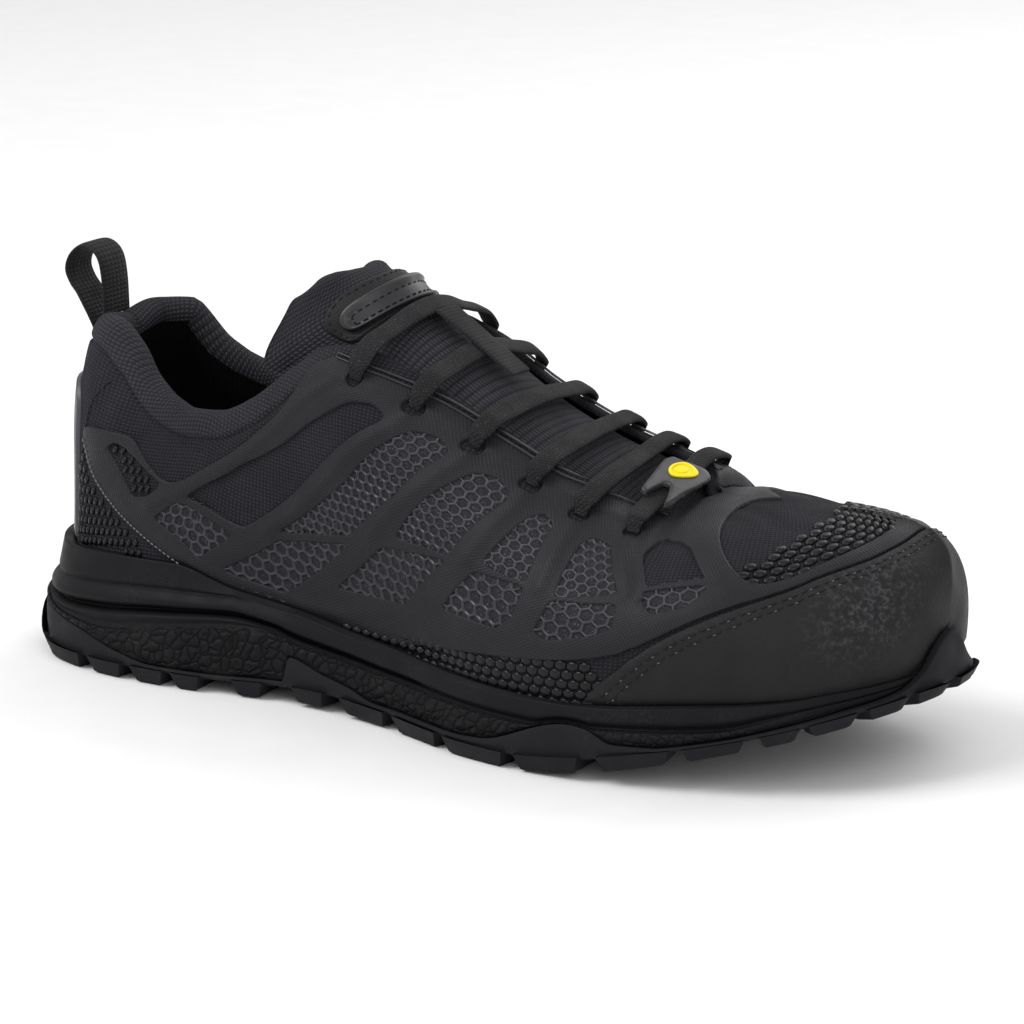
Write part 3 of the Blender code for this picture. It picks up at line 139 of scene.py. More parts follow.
# Lines along the midsole's side, in shares of HEEL_STACK: top of its pebbled part, the
# deep groove and the foot of the smooth cup
Lines = namedtuple("Lines", "share ledge groove cup")
LINES = [
    Lines(0.000, 0.400, 0.470, 0.620), Lines(0.100, 0.400, 0.470, 0.650),
    Lines(0.165, 0.370, 0.513, 0.692), Lines(0.230, 0.450, 0.575, 0.733),
    Lines(0.300, 0.533, 0.615, 0.755), Lines(0.335, 0.540, 0.570, 0.800),
    Lines(0.364, 0.470, 0.500, 0.800), Lines(0.423, 0.425, 0.450, 0.700),
    Lines(0.463, 0.395, 0.420, 0.650), Lines(0.558, 0.374, 0.400, 0.600),
    Lines(0.632, 0.360, 0.385, 0.600), Lines(0.689, 0.395, 0.420, 0.600),
    Lines(0.793, 0.462, 0.485, 0.700), Lines(0.822, 0.523, 0.545, 0.700),
    Lines(0.886, 0.631, 0.650, 0.750), Lines(1.000, 0.740, 0.750, 0.770),
]

# Profile of the midsole's side by level, 0 at the wrap, 1 to 3 at its lines and 4 at the
# rim: how far it stands in at the heel, forefoot and toe, in shares of BALL_WIDTH
Profile = namedtuple("Profile", "level heel fore toe")
PROFILE = [
    Profile(0.00, 0.002, 0.006, 0.024), Profile(0.50, 0.000, 0.000, 0.022),
    Profile(1.00, 0.006, 0.004, 0.022), Profile(1.20, 0.014, 0.012, 0.022),
    Profile(1.60, 0.009, 0.008, 0.022), Profile(2.00, 0.027, 0.014, 0.023),
    Profile(2.40, 0.014, 0.004, 0.022), Profile(3.00, 0.032, 0.010, 0.023),
    Profile(4.00, 0.052, 0.022, 0.026),
]

# Top line of the upper: shares of LENGTH, of BALL_WIDTH at each side and, for the
# outer and inner side, of INSTEP_HEIGHT. lean is the angle at which the wall arrives,
# from 0 upright to 90 flat; flare is the angle at which it leaves the sole, outward.
# rise and reach are the pulls of the curve's two ends, in shares of its chord.
Rib = namedtuple("Rib", "share along lateral medial outer inner lean flare rise reach")
RIBS = [
    Rib(0.000, 0.062, 0.000, 0.000, 0.916, 0.916, 32, -9, 0.36, 0.28),
    Rib(0.050, 0.070, -0.110, 0.120, 0.933, 0.939, 31, -7, 0.36, 0.29),
    Rib(0.090, 0.100, -0.190, 0.215, 0.939, 0.934, 30, -4, 0.36, 0.31),
    Rib(0.120, 0.138, -0.245, 0.262, 0.892, 0.821, 28, 0, 0.36, 0.34),
    Rib(0.150, 0.170, -0.280, 0.285, 0.805, 0.768, 22, 2, 0.36, 0.34),
    Rib(0.180, 0.196, -0.300, 0.298, 0.762, 0.744, 20, 3, 0.36, 0.34),
    Rib(0.220, 0.228, -0.315, 0.306, 0.738, 0.730, 18, 4, 0.36, 0.34),
    Rib(0.260, 0.264, -0.320, 0.308, 0.746, 0.737, 18, 4, 0.36, 0.34),
    Rib(0.300, 0.304, -0.318, 0.306, 0.799, 0.790, 20, 4, 0.36, 0.34),
    Rib(0.350, 0.352, -0.312, 0.300, 0.908, 0.900, 26, 4, 0.36, 0.34),
    Rib(0.400, 0.392, -0.302, 0.290, 0.988, 0.979, 36, 4, 0.36, 0.32),
    Rib(0.430, 0.420, -0.280, 0.270, 0.995, 0.987, 46, 4, 0.37, 0.33),
    Rib(0.460, 0.450, -0.258, 0.262, 0.972, 0.962, 52, 4, 0.38, 0.34),
    Rib(0.520, 0.530, -0.230, 0.225, 0.866, 0.851, 58, 6, 0.40, 0.38),
    Rib(0.600, 0.632, -0.195, 0.180, 0.725, 0.756, 64, 10, 0.42, 0.42),
    Rib(0.650, 0.690, -0.172, 0.152, 0.657, 0.721, 72, 13, 0.44, 0.45),
    Rib(0.685, 0.722, -0.140, 0.130, 0.628, 0.701, 80, 15, 0.45, 0.48),
    Rib(0.705, 0.738, -0.080, 0.100, 0.622, 0.680, 86, 16, 0.46, 0.49),
    Rib(0.720, 0.745, 0.055, 0.055, 0.643, 0.643, 90, 16, 0.47, 0.50),
    Rib(0.790, 0.790, 0.075, 0.075, 0.654, 0.654, 90, 18, 0.49, 0.52),
    Rib(0.860, 0.840, 0.093, 0.093, 0.637, 0.637, 90, 16, 0.51, 0.52),
    Rib(0.930, 0.893, 0.105, 0.105, 0.635, 0.635, 90, 9, 0.54, 0.52),
    Rib(1.000, 0.934, 0.112, 0.112, 0.630, 0.630, 90, 3, 0.58, 0.50),
]
THROAT_FRONT = 0.720

# Lugs round the edge on both sides, from and to a share of the way from heel to toe,
# and how far they reach in, in shares of BALL_WIDTH
EdgeLug = namedtuple("EdgeLug", "start end reach")
EDGE_LUGS = [
    EdgeLug(0.030, 0.082, 0.05), EdgeLug(0.097, 0.147, 0.09), EdgeLug(0.163, 0.195, 0.12),
    EdgeLug(0.210, 0.238, 0.14), EdgeLug(0.251, 0.273, 0.14), EdgeLug(0.307, 0.331, 0.14),
    EdgeLug(0.365, 0.394, 0.14), EdgeLug(0.418, 0.464, 0.15), EdgeLug(0.480, 0.532, 0.15),
    EdgeLug(0.547, 0.607, 0.15), EdgeLug(0.623, 0.676, 0.15), EdgeLug(0.696, 0.750, 0.15),
    EdgeLug(0.764, 0.808, 0.14), EdgeLug(0.823, 0.850, 0.12), EdgeLug(0.861, 0.895, 0.10),
    EdgeLug(0.909, 0.941, 0.08), EdgeLug(0.955, 0.988, 0.06),
]
HEEL_LUG = EdgeLug(-0.016, 0.016, 0.05)

# Six-sided lugs inside them: shares of LENGTH, of BALL_WIDTH and, for the radius, of LENGTH
MiddleLug = namedtuple("MiddleLug", "along across radius")
MIDDLE_LUGS = [
    MiddleLug(0.150, 0.00, 0.040), MiddleLug(0.245, 0.00, 0.030),
    MiddleLug(0.340, -0.02, 0.028), MiddleLug(0.450, -0.05, 0.028),
    MiddleLug(0.585, -0.07, 0.040),
    MiddleLug(0.685, -0.19, 0.032), MiddleLug(0.685, 0.09, 0.032),
    MiddleLug(0.790, -0.05, 0.034),
]

# Outlines of the overlays on the outer side, repeated on the inner: share of the way
# from heel to toe and height up the upper. The film's edge runs from the back of the
# heel along the sole and the toe cap to the ridge, round the vamp's window and up the
# throat; the toe cap's follows its seam.
FILM_REAR = [(0.101, 0.500), (0.126, 0.377), (0.160, 0.304), (0.207, 0.175),
             (0.235, 0.080), (0.262, 0.000), (0.410, 0.000), (0.469, 0.050),
             (0.520, 0.098), (0.578, 0.142), (0.657, 0.199), (0.709, 0.222)]
VAMP_WINDOW = [(0.985, 1.000), (0.960, 0.900), (0.893, 0.683), (0.850, 0.548),
               (0.815, 0.478), (0.797, 0.485), (0.776, 0.592), (0.764, 0.720),
               (0.769, 0.860), (0.790, 0.950), (0.825, 1.000)]
FILM_TOP = [(0.736, 1.000), (0.718, 0.968), (0.690, 0.966), (0.600, 0.970),
            (0.500, 0.972), (0.420, 0.972), (0.395, 0.966), (0.374, 0.930),
            (0.348, 0.872), (0.302, 0.841), (0.263, 0.750), (0.240, 0.645),
            (0.215, 0.578), (0.183, 0.652), (0.154, 0.745), (0.140, 0.700),
            (0.101, 0.575)]
CAP_SEAM = [(0.672, 0.000), (0.686, 0.105), (0.698, 0.150), (0.714, 0.185),
            (0.737, 0.236), (0.770, 0.306), (0.807, 0.392), (0.837, 0.455),
            (0.863, 0.510), (0.891, 0.567), (0.927, 0.655), (0.965, 0.760),
            (1.000, 0.830)]
SEAM_GAP = 0.012
HEEL_STRIP = [(0.000, 0.000), (0.092, 0.000), (0.091, 0.300), (0.082, 0.640),
              (0.060, 0.720), (0.000, 0.745)]
WINDOWS = [
    [(0.133, 0.575), (0.139, 0.640), (0.150, 0.660), (0.208, 0.570), (0.196, 0.470),
     (0.179, 0.428)],
    [(0.211, 0.342), (0.233, 0.470), (0.296, 0.342), (0.263, 0.152)],
    [(0.243, 0.515), (0.300, 0.715), (0.375, 0.715), (0.445, 0.802), (0.466, 0.822),
     (0.478, 0.805), (0.474, 0.775), (0.392, 0.549), (0.306, 0.382)],
    [(0.345, 0.354), (0.440, 0.530), (0.502, 0.815), (0.520, 0.845), (0.531, 0.820),
     (0.526, 0.780), (0.492, 0.553), (0.429, 0.355)],
    [(0.288, 0.140), (0.344, 0.312), (0.423, 0.321), (0.345, 0.100)],
    [(0.489, 0.409), (0.554, 0.800), (0.568, 0.827), (0.580, 0.800), (0.580, 0.760),
     (0.547, 0.455)],
    [(0.403, 0.170), (0.468, 0.346), (0.543, 0.426), (0.482, 0.189)],
    [(0.578, 0.487), (0.602, 0.740), (0.611, 0.790), (0.620, 0.760), (0.616, 0.482)],
    [(0.536, 0.248), (0.572, 0.440), (0.616, 0.460), (0.610, 0.335), (0.595, 0.264)],
    [(0.644, 0.462), (0.648, 0.720), (0.655, 0.770), (0.671, 0.755), (0.695, 0.503)],
    [(0.631, 0.293), (0.642, 0.438), (0.697, 0.447), (0.698, 0.349), (0.688, 0.327),
     (0.642, 0.273)],
    [(0.704, 0.690), (0.711, 0.724), (0.730, 0.650), (0.745, 0.610), (0.765, 0.485),
     (0.771, 0.430), (0.757, 0.362), (0.730, 0.336), (0.722, 0.370), (0.713, 0.520)],
]

Eyelet = namedtuple("Eyelet", "share height")
EYELETS = [Eyelet(0.442, 0.885), Eyelet(0.495, 0.891), Eyelet(0.543, 0.885),
           Eyelet(0.590, 0.871), Eyelet(0.633, 0.848), Eyelet(0.682, 0.842)]

# Tongue where it lies under the throat: share, height of its edges, its thickness in
# shares of INSTEP_HEIGHT, how far it lies below the upper's inside and how far it arches
Bed = namedtuple("Bed", "share wing thickness below crown")
TONGUE_BED = [
    Bed(0.738, 0.900, 0.028, 0.0026, 0.20), Bed(0.715, 0.860, 0.033, 0.0020, 0.20),
    Bed(0.685, 0.835, 0.039, 0.0010, 0.20), Bed(0.640, 0.800, 0.043, 0.0008, 0.20),
    Bed(0.590, 0.780, 0.046, 0.0008, 0.22), Bed(0.540, 0.770, 0.048, 0.0008, 0.25),
    Bed(0.490, 0.765, 0.052, 0.0008, 0.30), Bed(0.450, 0.765, 0.057, 0.0008, 0.36),
]
# and above it: shares of LENGTH and INSTEP_HEIGHT for its front and its edges, half its
# width in shares of BALL_WIDTH, and its thickness
Free = namedtuple("Free", "front_along front_up edge_along edge_up half thickness")
TONGUE_FREE = [
    Free(0.428, 1.072, 0.337, 0.861, 0.2175, 0.069),
    Free(0.406, 1.122, 0.297, 0.907, 0.2220, 0.080),
    Free(0.370, 1.147, 0.320, 1.065, 0.1950, 0.083),
]
TONGUE_COLUMNS = 9

# Plates on the tongue: rows and columns of its grid
TONGUE_PATCH = [(7.8, 1.7), (7.8, 6.0), (9.1, 6.0), (9.5, 5.6), (9.5, 2.2), (9.1, 1.8)]
TONGUE_BADGE = [(8.05, 2.3), (8.05, 5.2), (8.2, 5.6), (8.8, 5.6), (9.0, 5.2), (9.0, 2.4),
                (8.8, 2.1), (8.2, 2.0)]

# Keeper and tag over the laces: shares they span along the throat, and their outlines
# in rows and columns of that part of the laces
PLATE_ROWS = 4
KEEPER_SHARES = (0.460, 0.524)
LACE_KEEPER = [(0.0, 3.45), (0.0, 4.55), (3.0, 4.55), (3.0, 3.45)]
TAG_SHARES = (0.655, 0.708)
LACE_TAG = [(0.15, 4.2), (0.40, 4.6), (2.50, 4.6), (2.75, 4.3), (3.00, 0.6), (2.80, 0.4),
            (2.05, 2.2), (1.85, 2.6), (1.45, 2.7), (1.20, 2.2), (1.05, 1.7), (0.60, 1.8)]
TAG_CENTRE = (1.65, 3.8)

# Pull loop at the heel, seen from the side: shares of LENGTH and INSTEP_HEIGHT
Loop = namedtuple("Loop", "along up")
PULL_LOOP = [
    Loop(0.0330, 0.985), Loop(0.0230, 1.020), Loop(0.0180, 1.055), Loop(0.0240, 1.095),
    Loop(0.0380, 1.118), Loop(0.0520, 1.095), Loop(0.0575, 1.035), Loop(0.0595, 0.933),
]


def column(rows, name):
    return np.array([getattr(row, name) for row in rows])


def smooth(rows, name, at):
    """A column of a table as a smooth curve that never overshoots its rows."""
    x, y = column(rows, rows[0]._fields[0]), column(rows, name)
    step, rate = np.diff(x), np.diff(y) / np.diff(x)
    slope = np.concatenate([rate[:1], np.zeros(len(x) - 2), rate[-1:]])
    before, after = rate[:-1], rate[1:]
    same = before * after > 0
    near, far = step[1:] * 2 + step[:-1], step[1:] + step[:-1] * 2
    slope[1:-1][same] = ((near + far)[same]
                         / (near[same] / before[same] + far[same] / after[same]))
    at = np.clip(at, x[0], x[-1])
    i = np.clip(np.searchsorted(x, at, side="right") - 1, 0, len(x) - 2)
    t = (at - x[i]) / step[i]
    return hermite(t, y[i], step[i] * slope[i], step[i] * slope[i + 1], y[i + 1])


def unit(vectors):
    return vectors / np.linalg.norm(vectors, axis=-1, keepdims=True)


def way_along(line):
    """Length along a line of points up to each of them."""
    return np.concatenate([[0], np.cumsum(np.linalg.norm(np.diff(line, axis=0), axis=1))])


def evenly(line, count):
    """Points evenly spaced along a line of points."""
    way = way_along(line)
    at = np.linspace(0, way[-1], count)
    return np.stack([np.interp(at, way, part) for part in line.T], -1)


def hermite(t, start, leave, arrive, end):
    """A smooth curve from start to end, with its slopes there over the whole step."""
    return ((1 + 2 * t) * (1 - t) ** 2 * start + t * (1 - t) ** 2 * leave
            + t * t * (3 - 2 * t) * end + t * t * (t - 1) * arrive)


def plan_curve(side, samples=400):
    """One side of the plan from heel to toe, as points with their share of the way."""
    wide = column(PLAN, "lateral" if side == LATERAL else "medial")
    points = np.stack([column(PLAN, "along") * LENGTH - HEEL_TO_ORIGIN,
                       wide * BALL_WIDTH * side], -1)
    knots = np.concatenate([[0], np.cumsum(np.linalg.norm(np.diff(points, axis=0), axis=1) ** 0.5)])
    step = np.diff(knots)[:, None]
    rate = np.diff(points, axis=0) / step
    tangent = np.zeros_like(points)
    tangent[1:-1] = (rate[:-1] * step[1:] + rate[1:] * step[:-1]) / (step[1:] + step[:-1])
    tangent[0] = 0, side * np.linalg.norm(rate[0])
    tangent[-1] = 0, -side * np.linalg.norm(rate[-1])
    at = np.linspace(0, knots[-1], samples)
    i = np.clip(np.searchsorted(knots, at, side="right") - 1, 0, len(knots) - 2)
    t = (at - knots[i])[:, None] / step[i]
    curve = hermite(t, points[i], step[i] * tangent[i], step[i] * tangent[i + 1], points[i + 1])
    way = way_along(curve)
    along = np.gradient(curve, axis=0)
    along[0], along[-1] = (0, side), (0, -side)
    outward = unit(np.stack([-along[:, 1] * side, along[:, 0] * side], -1))
    return way / way[-1], curve, outward


CURVES = {side: plan_curve(side) for side in (LATERAL, MEDIAL)}


def share_of(turn):
    """Share of the way from heel to toe, and the side, at a turn round the shoe."""
    turn = np.mod(turn, 2.0)
    return np.where(turn <= 1, turn, 2 - turn), np.where(turn <= 1, LATERAL, MEDIAL)


def sole_edge(turn, inset=0.0):
    """Plan point of the sole's edge, moved in, with the outward direction there."""
    share, side = share_of(turn)
    point, outward = np.zeros(share.shape + (2,)), np.zeros(share.shape + (2,))
    for which, (way, curve, normal) in CURVES.items():
        here = side == which
        for axis in (0, 1):
            point[here, axis] = np.interp(share[here], way, curve[:, axis])
            outward[here, axis] = np.interp(share[here], way, normal[:, axis])
    outward = unit(outward)
    return point - outward * np.asarray(inset)[..., None], outward


def spring(x):
    """Height of the tread over the ground at a place along the shoe."""
    return smooth(SPRING, "height", (x + HEEL_TO_ORIGIN) / LENGTH) * TOE_HEIGHT


def tread_height(turn):
    """Height of the tread over the ground at the edge of the sole."""
    return spring(sole_edge(turn)[0][..., 0])


def toe_taper(turn):
    """The outsole and its lugs thin towards the toe."""
    along = (sole_edge(turn)[0][..., 0] + HEEL_TO_ORIGIN) / LENGTH
    return 1 - TOE_THINNING * ramp(along, 0.70, 0.90)


def base_bottom(turn):
    return tread_height(turn) + LUG_DEPTH * toe_taper(turn)


def base_top(turn):
    return base_bottom(turn) + BASE_THICKNESS * toe_taper(turn)


def wrap_height(turn):
    """Top of the outsole's upturned edge."""
    return np.maximum(smooth(WRAP, "height", share_of(turn)[0]) * HEEL_STACK,
                      base_top(turn) + WRAP_LEAST)


def rim_height(turn):
    """Top of the midsole's rim, round the foot of the upper."""
    return smooth(SIDE, "rim", share_of(turn)[0]) * HEEL_STACK


def floor_height(turn):
    """The footbed on which upper and insole stand."""
    return np.maximum(rim_height(turn) - RIM_LIP, base_top(turn) + CLEARANCE + FOOTBED_LEAST)


def upper_inset(turn):
    return smooth(SIDE, "upper_inset", share_of(turn)[0]) * BALL_WIDTH


def ramp(value, start, end):
    """0 before start, 1 after end and smooth between."""
    t = np.clip((value - start) / (end - start), 0, 1)
    return t * t * (3 - 2 * t)


def level_height(turn, level):
    """Height of a level of the midsole's side, between the wrap, its lines and the rim."""
    share, rim = share_of(turn)[0], rim_height(turn)
    wrap = np.minimum(wrap_height(turn), rim - RIM_LEAST) + CLEARANCE
    marks = [wrap]
    for line, above in (("ledge", 0.24), ("groove", 0.15), ("cup", 0.06)):
        height = smooth(LINES, line, share) * HEEL_STACK
        marks.append(np.clip(height, marks[-1] + (rim - wrap) * 0.05,
                             rim - (rim - wrap) * above))
    marks.append(rim)
    below = int(min(level, 3))
    return marks[below] + (marks[below + 1] - marks[below]) * (level - below)


def profile_inset(turn, level):
    """How far the midsole's side stands in from the plan at a level."""
    share = share_of(turn)[0]
    fore, toe = ramp(share, 0.28, 0.50), ramp(share, 0.78, 0.87)
    at = np.full_like(share, level)
    rear = smooth(PROFILE, "heel", at) * (1 - fore) + smooth(PROFILE, "fore", at) * fore
    return (rear * (1 - toe) + smooth(PROFILE, "toe", at) * toe) * BALL_WIDTH


def rib_points(share, side):
    """The four control points of the rib of the upper at a share of the way round."""
    turn = np.where(side == LATERAL, share, 2 - share)
    foot, outward = sole_edge(turn, upper_inset(turn))
    floor = floor_height(turn) + CLEARANCE
    start = np.concatenate([foot, floor[..., None]], -1)
    along = smooth(RIBS, "along", share) * LENGTH - HEEL_TO_ORIGIN
    outer_side = (side == LATERAL) & (share < THROAT_FRONT)
    across = np.where(outer_side, smooth(RIBS, "lateral", share),
                      smooth(RIBS, "medial", share)) * BALL_WIDTH
    top = np.where(outer_side, smooth(RIBS, "outer", share), smooth(RIBS, "inner", share))
    end = np.stack([along, across, top * INSTEP_HEIGHT], -1)
    ahead = np.clip(share + 0.01, THROAT_FRONT + 0.01, 1)
    behind = ahead - 0.01
    ridge = unit(np.stack([
        (smooth(RIBS, "along", ahead) - smooth(RIBS, "along", behind)) * LENGTH,
        (smooth(RIBS, "medial", ahead) - smooth(RIBS, "medial", behind)) * BALL_WIDTH,
        (smooth(RIBS, "inner", ahead) - smooth(RIBS, "inner", behind)) * INSTEP_HEIGHT], -1))
    on_ridge = (share >= THROAT_FRONT)[..., None]
    forward = np.where(on_ridge, ridge, [1.0, 0.0, 0.0])
    sideways = np.array([0.0, 1.0, 0.0])
    inward = -unit(outward[..., :1] * forward + outward[..., 1:] * sideways)
    lean = np.radians(smooth(RIBS, "lean", share))[..., None]
    flare = np.radians(smooth(RIBS, "flare", share))[..., None]
    up = np.array([0.0, 0.0, 1.0])
    arrive = unit(np.cos(lean) * up + np.sin(lean) * inward)
    flat_outward = np.concatenate([outward, np.zeros_like(outward[..., :1])], -1)
    leave = np.cos(flare) * up + np.sin(flare) * flat_outward
    chord = np.linalg.norm(end - start, axis=-1, keepdims=True)
    rise = smooth(RIBS, "rise", share)[..., None] * chord
    reach = smooth(RIBS, "reach", share)[..., None] * chord
    return start, start + leave * rise, end - arrive * reach, end


def surface_point(turn, height):
    """Point of the upper's outer face: height 0 at the sole and 1 at the top line."""
    share, side = share_of(turn)
    a, b, c, d = rib_points(share, side)
    t = np.asarray(height)[..., None]
    return a * (1 - t) ** 3 + b * 3 * t * (1 - t) ** 2 + c * 3 * t * t * (1 - t) + d * t ** 3


def side_normal(turn, height):
    step = 1e-4
    share, side = share_of(turn)
    low, high = np.clip(height - step, 0, 1), np.clip(height + step, 0, 1)
    up = surface_point(turn, high) - surface_point(turn, low)
    back = np.where(side == LATERAL, 0, 2)
    sign = np.where(side == LATERAL, 1, -1)
    ahead, behind = np.clip(share + step, 0, 1), np.clip(share - step, 0, 1)
    forward = surface_point(back + sign * ahead, height) - surface_point(back + sign * behind, height)
    return unit(np.cross(forward, up) * sign[..., None])


def surface_normal(turn, height):
    """Outward direction of the upper's outer face, shared by both sides where they meet."""
    share = share_of(turn)[0]
    other = np.where(share_of(turn)[1] == LATERAL, 2 - share, share)
    meet = ((height >= 1) & (share >= THROAT_FRONT)) | (share <= 0) | (share >= 1)
    here = side_normal(turn, height)
    mirrored = side_normal(np.clip(other, SEAM_STEP, 2 - SEAM_STEP), height)
    return np.where(meet[..., None], unit(here + mirrored), here)


def wall_at(turn, height):
    """Thickness of the upper's wall: thick round the padded collar."""
    share = share_of(turn)[0]
    collar = 1 - ramp(share, 0.33, 0.42)
    return WALL + (COLLAR_PAD - WALL) * collar * ramp(height, 0.45, 0.90)


def upper_point(turn, height, lift=0.0):
    """Point of the upper's outer face, moved outward by a lift."""
    turn, height = np.broadcast_arrays(np.asarray(turn, float), np.asarray(height, float))
    return surface_point(turn, height) + surface_normal(turn, height) * np.asarray(lift)[..., None]


MM = 0.001
# Smallest turn from the join of the two sides, and how close points count as one
SEAM_STEP = 1e-5
WELD = 1e-6
SMOOTHNESS = 1.0
LACE_STEPS = 9

# The cloth plane in millimetres: along the edge of the sole and up the upper
CLOTH_WIDTH = 330.0
RIB_SHARES = np.linspace(0, 1, 101)


def rib_lengths():
    share, height = np.meshgrid(RIB_SHARES, np.linspace(0, 1, 25), indexing="ij")
    line = surface_point(share, height)
    return np.linalg.norm(np.diff(line, axis=1), axis=-1).sum(1) / MM


RIB_LENGTHS = rib_lengths()


def rib_length(across):
    return np.interp(across / CLOTH_WIDTH, RIB_SHARES, RIB_LENGTHS)


def to_cloth(marks):
    share, height = np.array(marks, float).T
    return np.stack([share * CLOTH_WIDTH, height * rib_length(share * CLOTH_WIDTH)], -1)


def on_upper(side):
    """Places of the cloth plane on one side of the upper, at a lift in millimetres."""
    def place(flat, lift):
        share = np.clip(flat[:, 0] / CLOTH_WIDTH, 0, 1)
        height = np.clip(flat[:, 1] / rib_length(flat[:, 0]), 0, 1)
        return upper_point(share if side == LATERAL else 2 - share, height,
                           np.broadcast_to(lift, share.shape) * MM)
    return place


def on_grid(grid, row, column):
    """A place on a grid of points, straight between its lines."""
    i = np.clip(np.floor(row).astype(int), 0, grid.shape[0] - 2)
    j = np.clip(np.floor(column).astype(int), 0, grid.shape[1] - 2)
    s, t = (row - i)[..., None], (column - j)[..., None]
    return ((grid[i, j] * (1 - s) + grid[i + 1, j] * s) * (1 - t)
            + (grid[i, j + 1] * (1 - s) + grid[i + 1, j + 1] * s) * t)


def finer(grid, count, axis):
    """A grid drawn out along one axis to more points by smooth curves."""
    grid = np.moveaxis(grid, axis, 0)
    at = np.linspace(0, len(grid) - 1, count)
    i = np.clip(at.astype(int), 0, len(grid) - 2)
    t = (at - i).reshape((-1,) + (1,) * (grid.ndim - 1))
    last = len(grid) - 1
    start = (grid[i + 1] - grid[np.maximum(i - 1, 0)]) / np.where(i > 0, 2, 1).reshape(t.shape)
    end = (grid[np.minimum(i + 2, last)] - grid[i]) / np.where(i < last - 1, 2, 1).reshape(t.shape)
    return np.moveaxis(hermite(t, grid[i], start, end, grid[i + 1]), 0, axis)


def grid_faces(rows, columns, closed=False):
    """Quads of a grid of points whose columns run first."""
    faces = []
    for i in range(rows if closed else rows - 1):
        near, far = i * columns, (i + 1) % rows * columns
        for j in range(columns - 1):
            faces.append((near + j, far + j, far + j + 1, near + j + 1))
    return faces


class Shape:
    """Points, faces, places in the cloth plane and kinds of face of a piece."""

    def __init__(self):
        self.points, self.faces, self.flat, self.kinds, self.count = [], [], [], [], 0

    def add(self, points, faces, flat, kind=0, flip=False):
        points = np.asarray(points).reshape(-1, 3)
        step = -1 if flip else 1
        self.faces += [tuple(i + self.count for i in face[::step]) for face in faces]
        self.kinds += list(kind) if np.ndim(kind) else [kind] * len(faces)
        self.points.append(points)
        self.flat.append(np.broadcast_to(np.asarray(flat, float), (len(points), 2)))
        self.count += len(points)

    def piece(self, name, finishes, slot, nodes=(), weld=0.0, sharp=None, marks=None):
        mesh = bpy.data.meshes.new(name)
        points, flat = np.concatenate(self.points), np.concatenate(self.flat)
        mesh.from_pydata(points.tolist(), [], self.faces)
        corners = np.empty(len(mesh.loops), int)
        mesh.loops.foreach_get("vertex_index", corners)
        layer = mesh.uv_layers.new(name="cloth")
        layer.data.foreach_set("uv", flat[corners].ravel())
        for label, values in (marks or {}).items():
            mesh.attributes.new(label, "FLOAT", "POINT").data.foreach_set("value", values)
        for finish in finishes if isinstance(finishes, (list, tuple)) else [finishes]:
            mesh.materials.append(finish)
        mesh.polygons.foreach_set("material_index", self.kinds)
        if weld:
            bm = bmesh.new()
            bm.from_mesh(mesh)
            bmesh.ops.remove_doubles(bm, verts=bm.verts, dist=weld)
            bm.to_mesh(mesh)
            bm.free()
        mesh.shade_smooth()
        if sharp:
            mesh.set_sharp_from_angle(angle=np.radians(sharp))
        made = bpy.data.objects.new(name, mesh)
        bpy.context.scene.collection.objects.link(made)
        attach(made, "root")
        if nodes:
            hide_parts(*nodes)
        return made


def rounded(loop, cut, keep=None, steps=5):
    """A closed line of points with its corners rounded, apart from those to keep."""
    made = []
    count = len(loop)
    for i, corner in enumerate(loop):
        before, after = loop[i - 1] - corner, loop[(i + 1) % count] - corner
        if keep is not None and keep[i]:
            made.append(corner)
            continue
        near = before * min(cut / max(np.linalg.norm(before), 1e-9), 0.48)
        far = after * min(cut / max(np.linalg.norm(after), 1e-9), 0.48)
        for t in np.linspace(0, 1, steps):
            made.append(corner + near * (1 - t) ** 2 + far * t * t)
    return np.array(made)


def joined(points):
    """True for cloth places where both sides of the shoe meet."""
    top = (points[:, 1] > rib_length(points[:, 0]) - 0.02)
    top &= points[:, 0] > THROAT_FRONT * CLOTH_WIDTH - 0.02
    return top | (points[:, 0] < 0.02) | (points[:, 0] > CLOTH_WIDTH - 0.02)


def stepped(loop, step, open_ends=True):
    """A closed line with points no further apart than a step."""
    made = []
    meets = joined(loop) if open_ends else np.zeros(len(loop), bool)
    for i, start in enumerate(loop):
        end = loop[(i + 1) % len(loop)]
        count = max(1, int(np.ceil(np.linalg.norm(end - start) / step)))
        part = start + (end - start) * (np.arange(count) / count)[:, None]
        along_ridge = meets[i] and meets[(i + 1) % len(loop)] and abs(end[0] - start[0]) > 1
        if along_ridge and start[1] > 1:
            part[:, 1] = rib_length(part[:, 0])
        made.append(part)
    return np.concatenate(made)


def inside(points, loop):
    """Which points of a plane lie inside a closed line."""
    found = np.zeros(len(points), bool)
    for (x0, y0), (x1, y1) in zip(loop, np.roll(loop, -1, axis=0)):
        if y0 != y1:
            spans = (points[:, 1] > min(y0, y1)) & (points[:, 1] <= max(y0, y1))
            found ^= spans & (points[:, 0] < x0 + (points[:, 1] - y0) / (y1 - y0) * (x1 - x0))
    return found


def within(points, loops):
    """Which points lie inside the first loop and outside the others."""
    kept = inside(points, loops[0])
    for hole in loops[1:]:
        kept &= ~inside(points, hole)
    return kept


def segment_distance(points, start, end):
    along = end - start
    t = np.clip((points - start) @ along / max(along @ along, 1e-12), 0, 1)
    return np.linalg.norm(points - start - t[:, None] * along, axis=1)


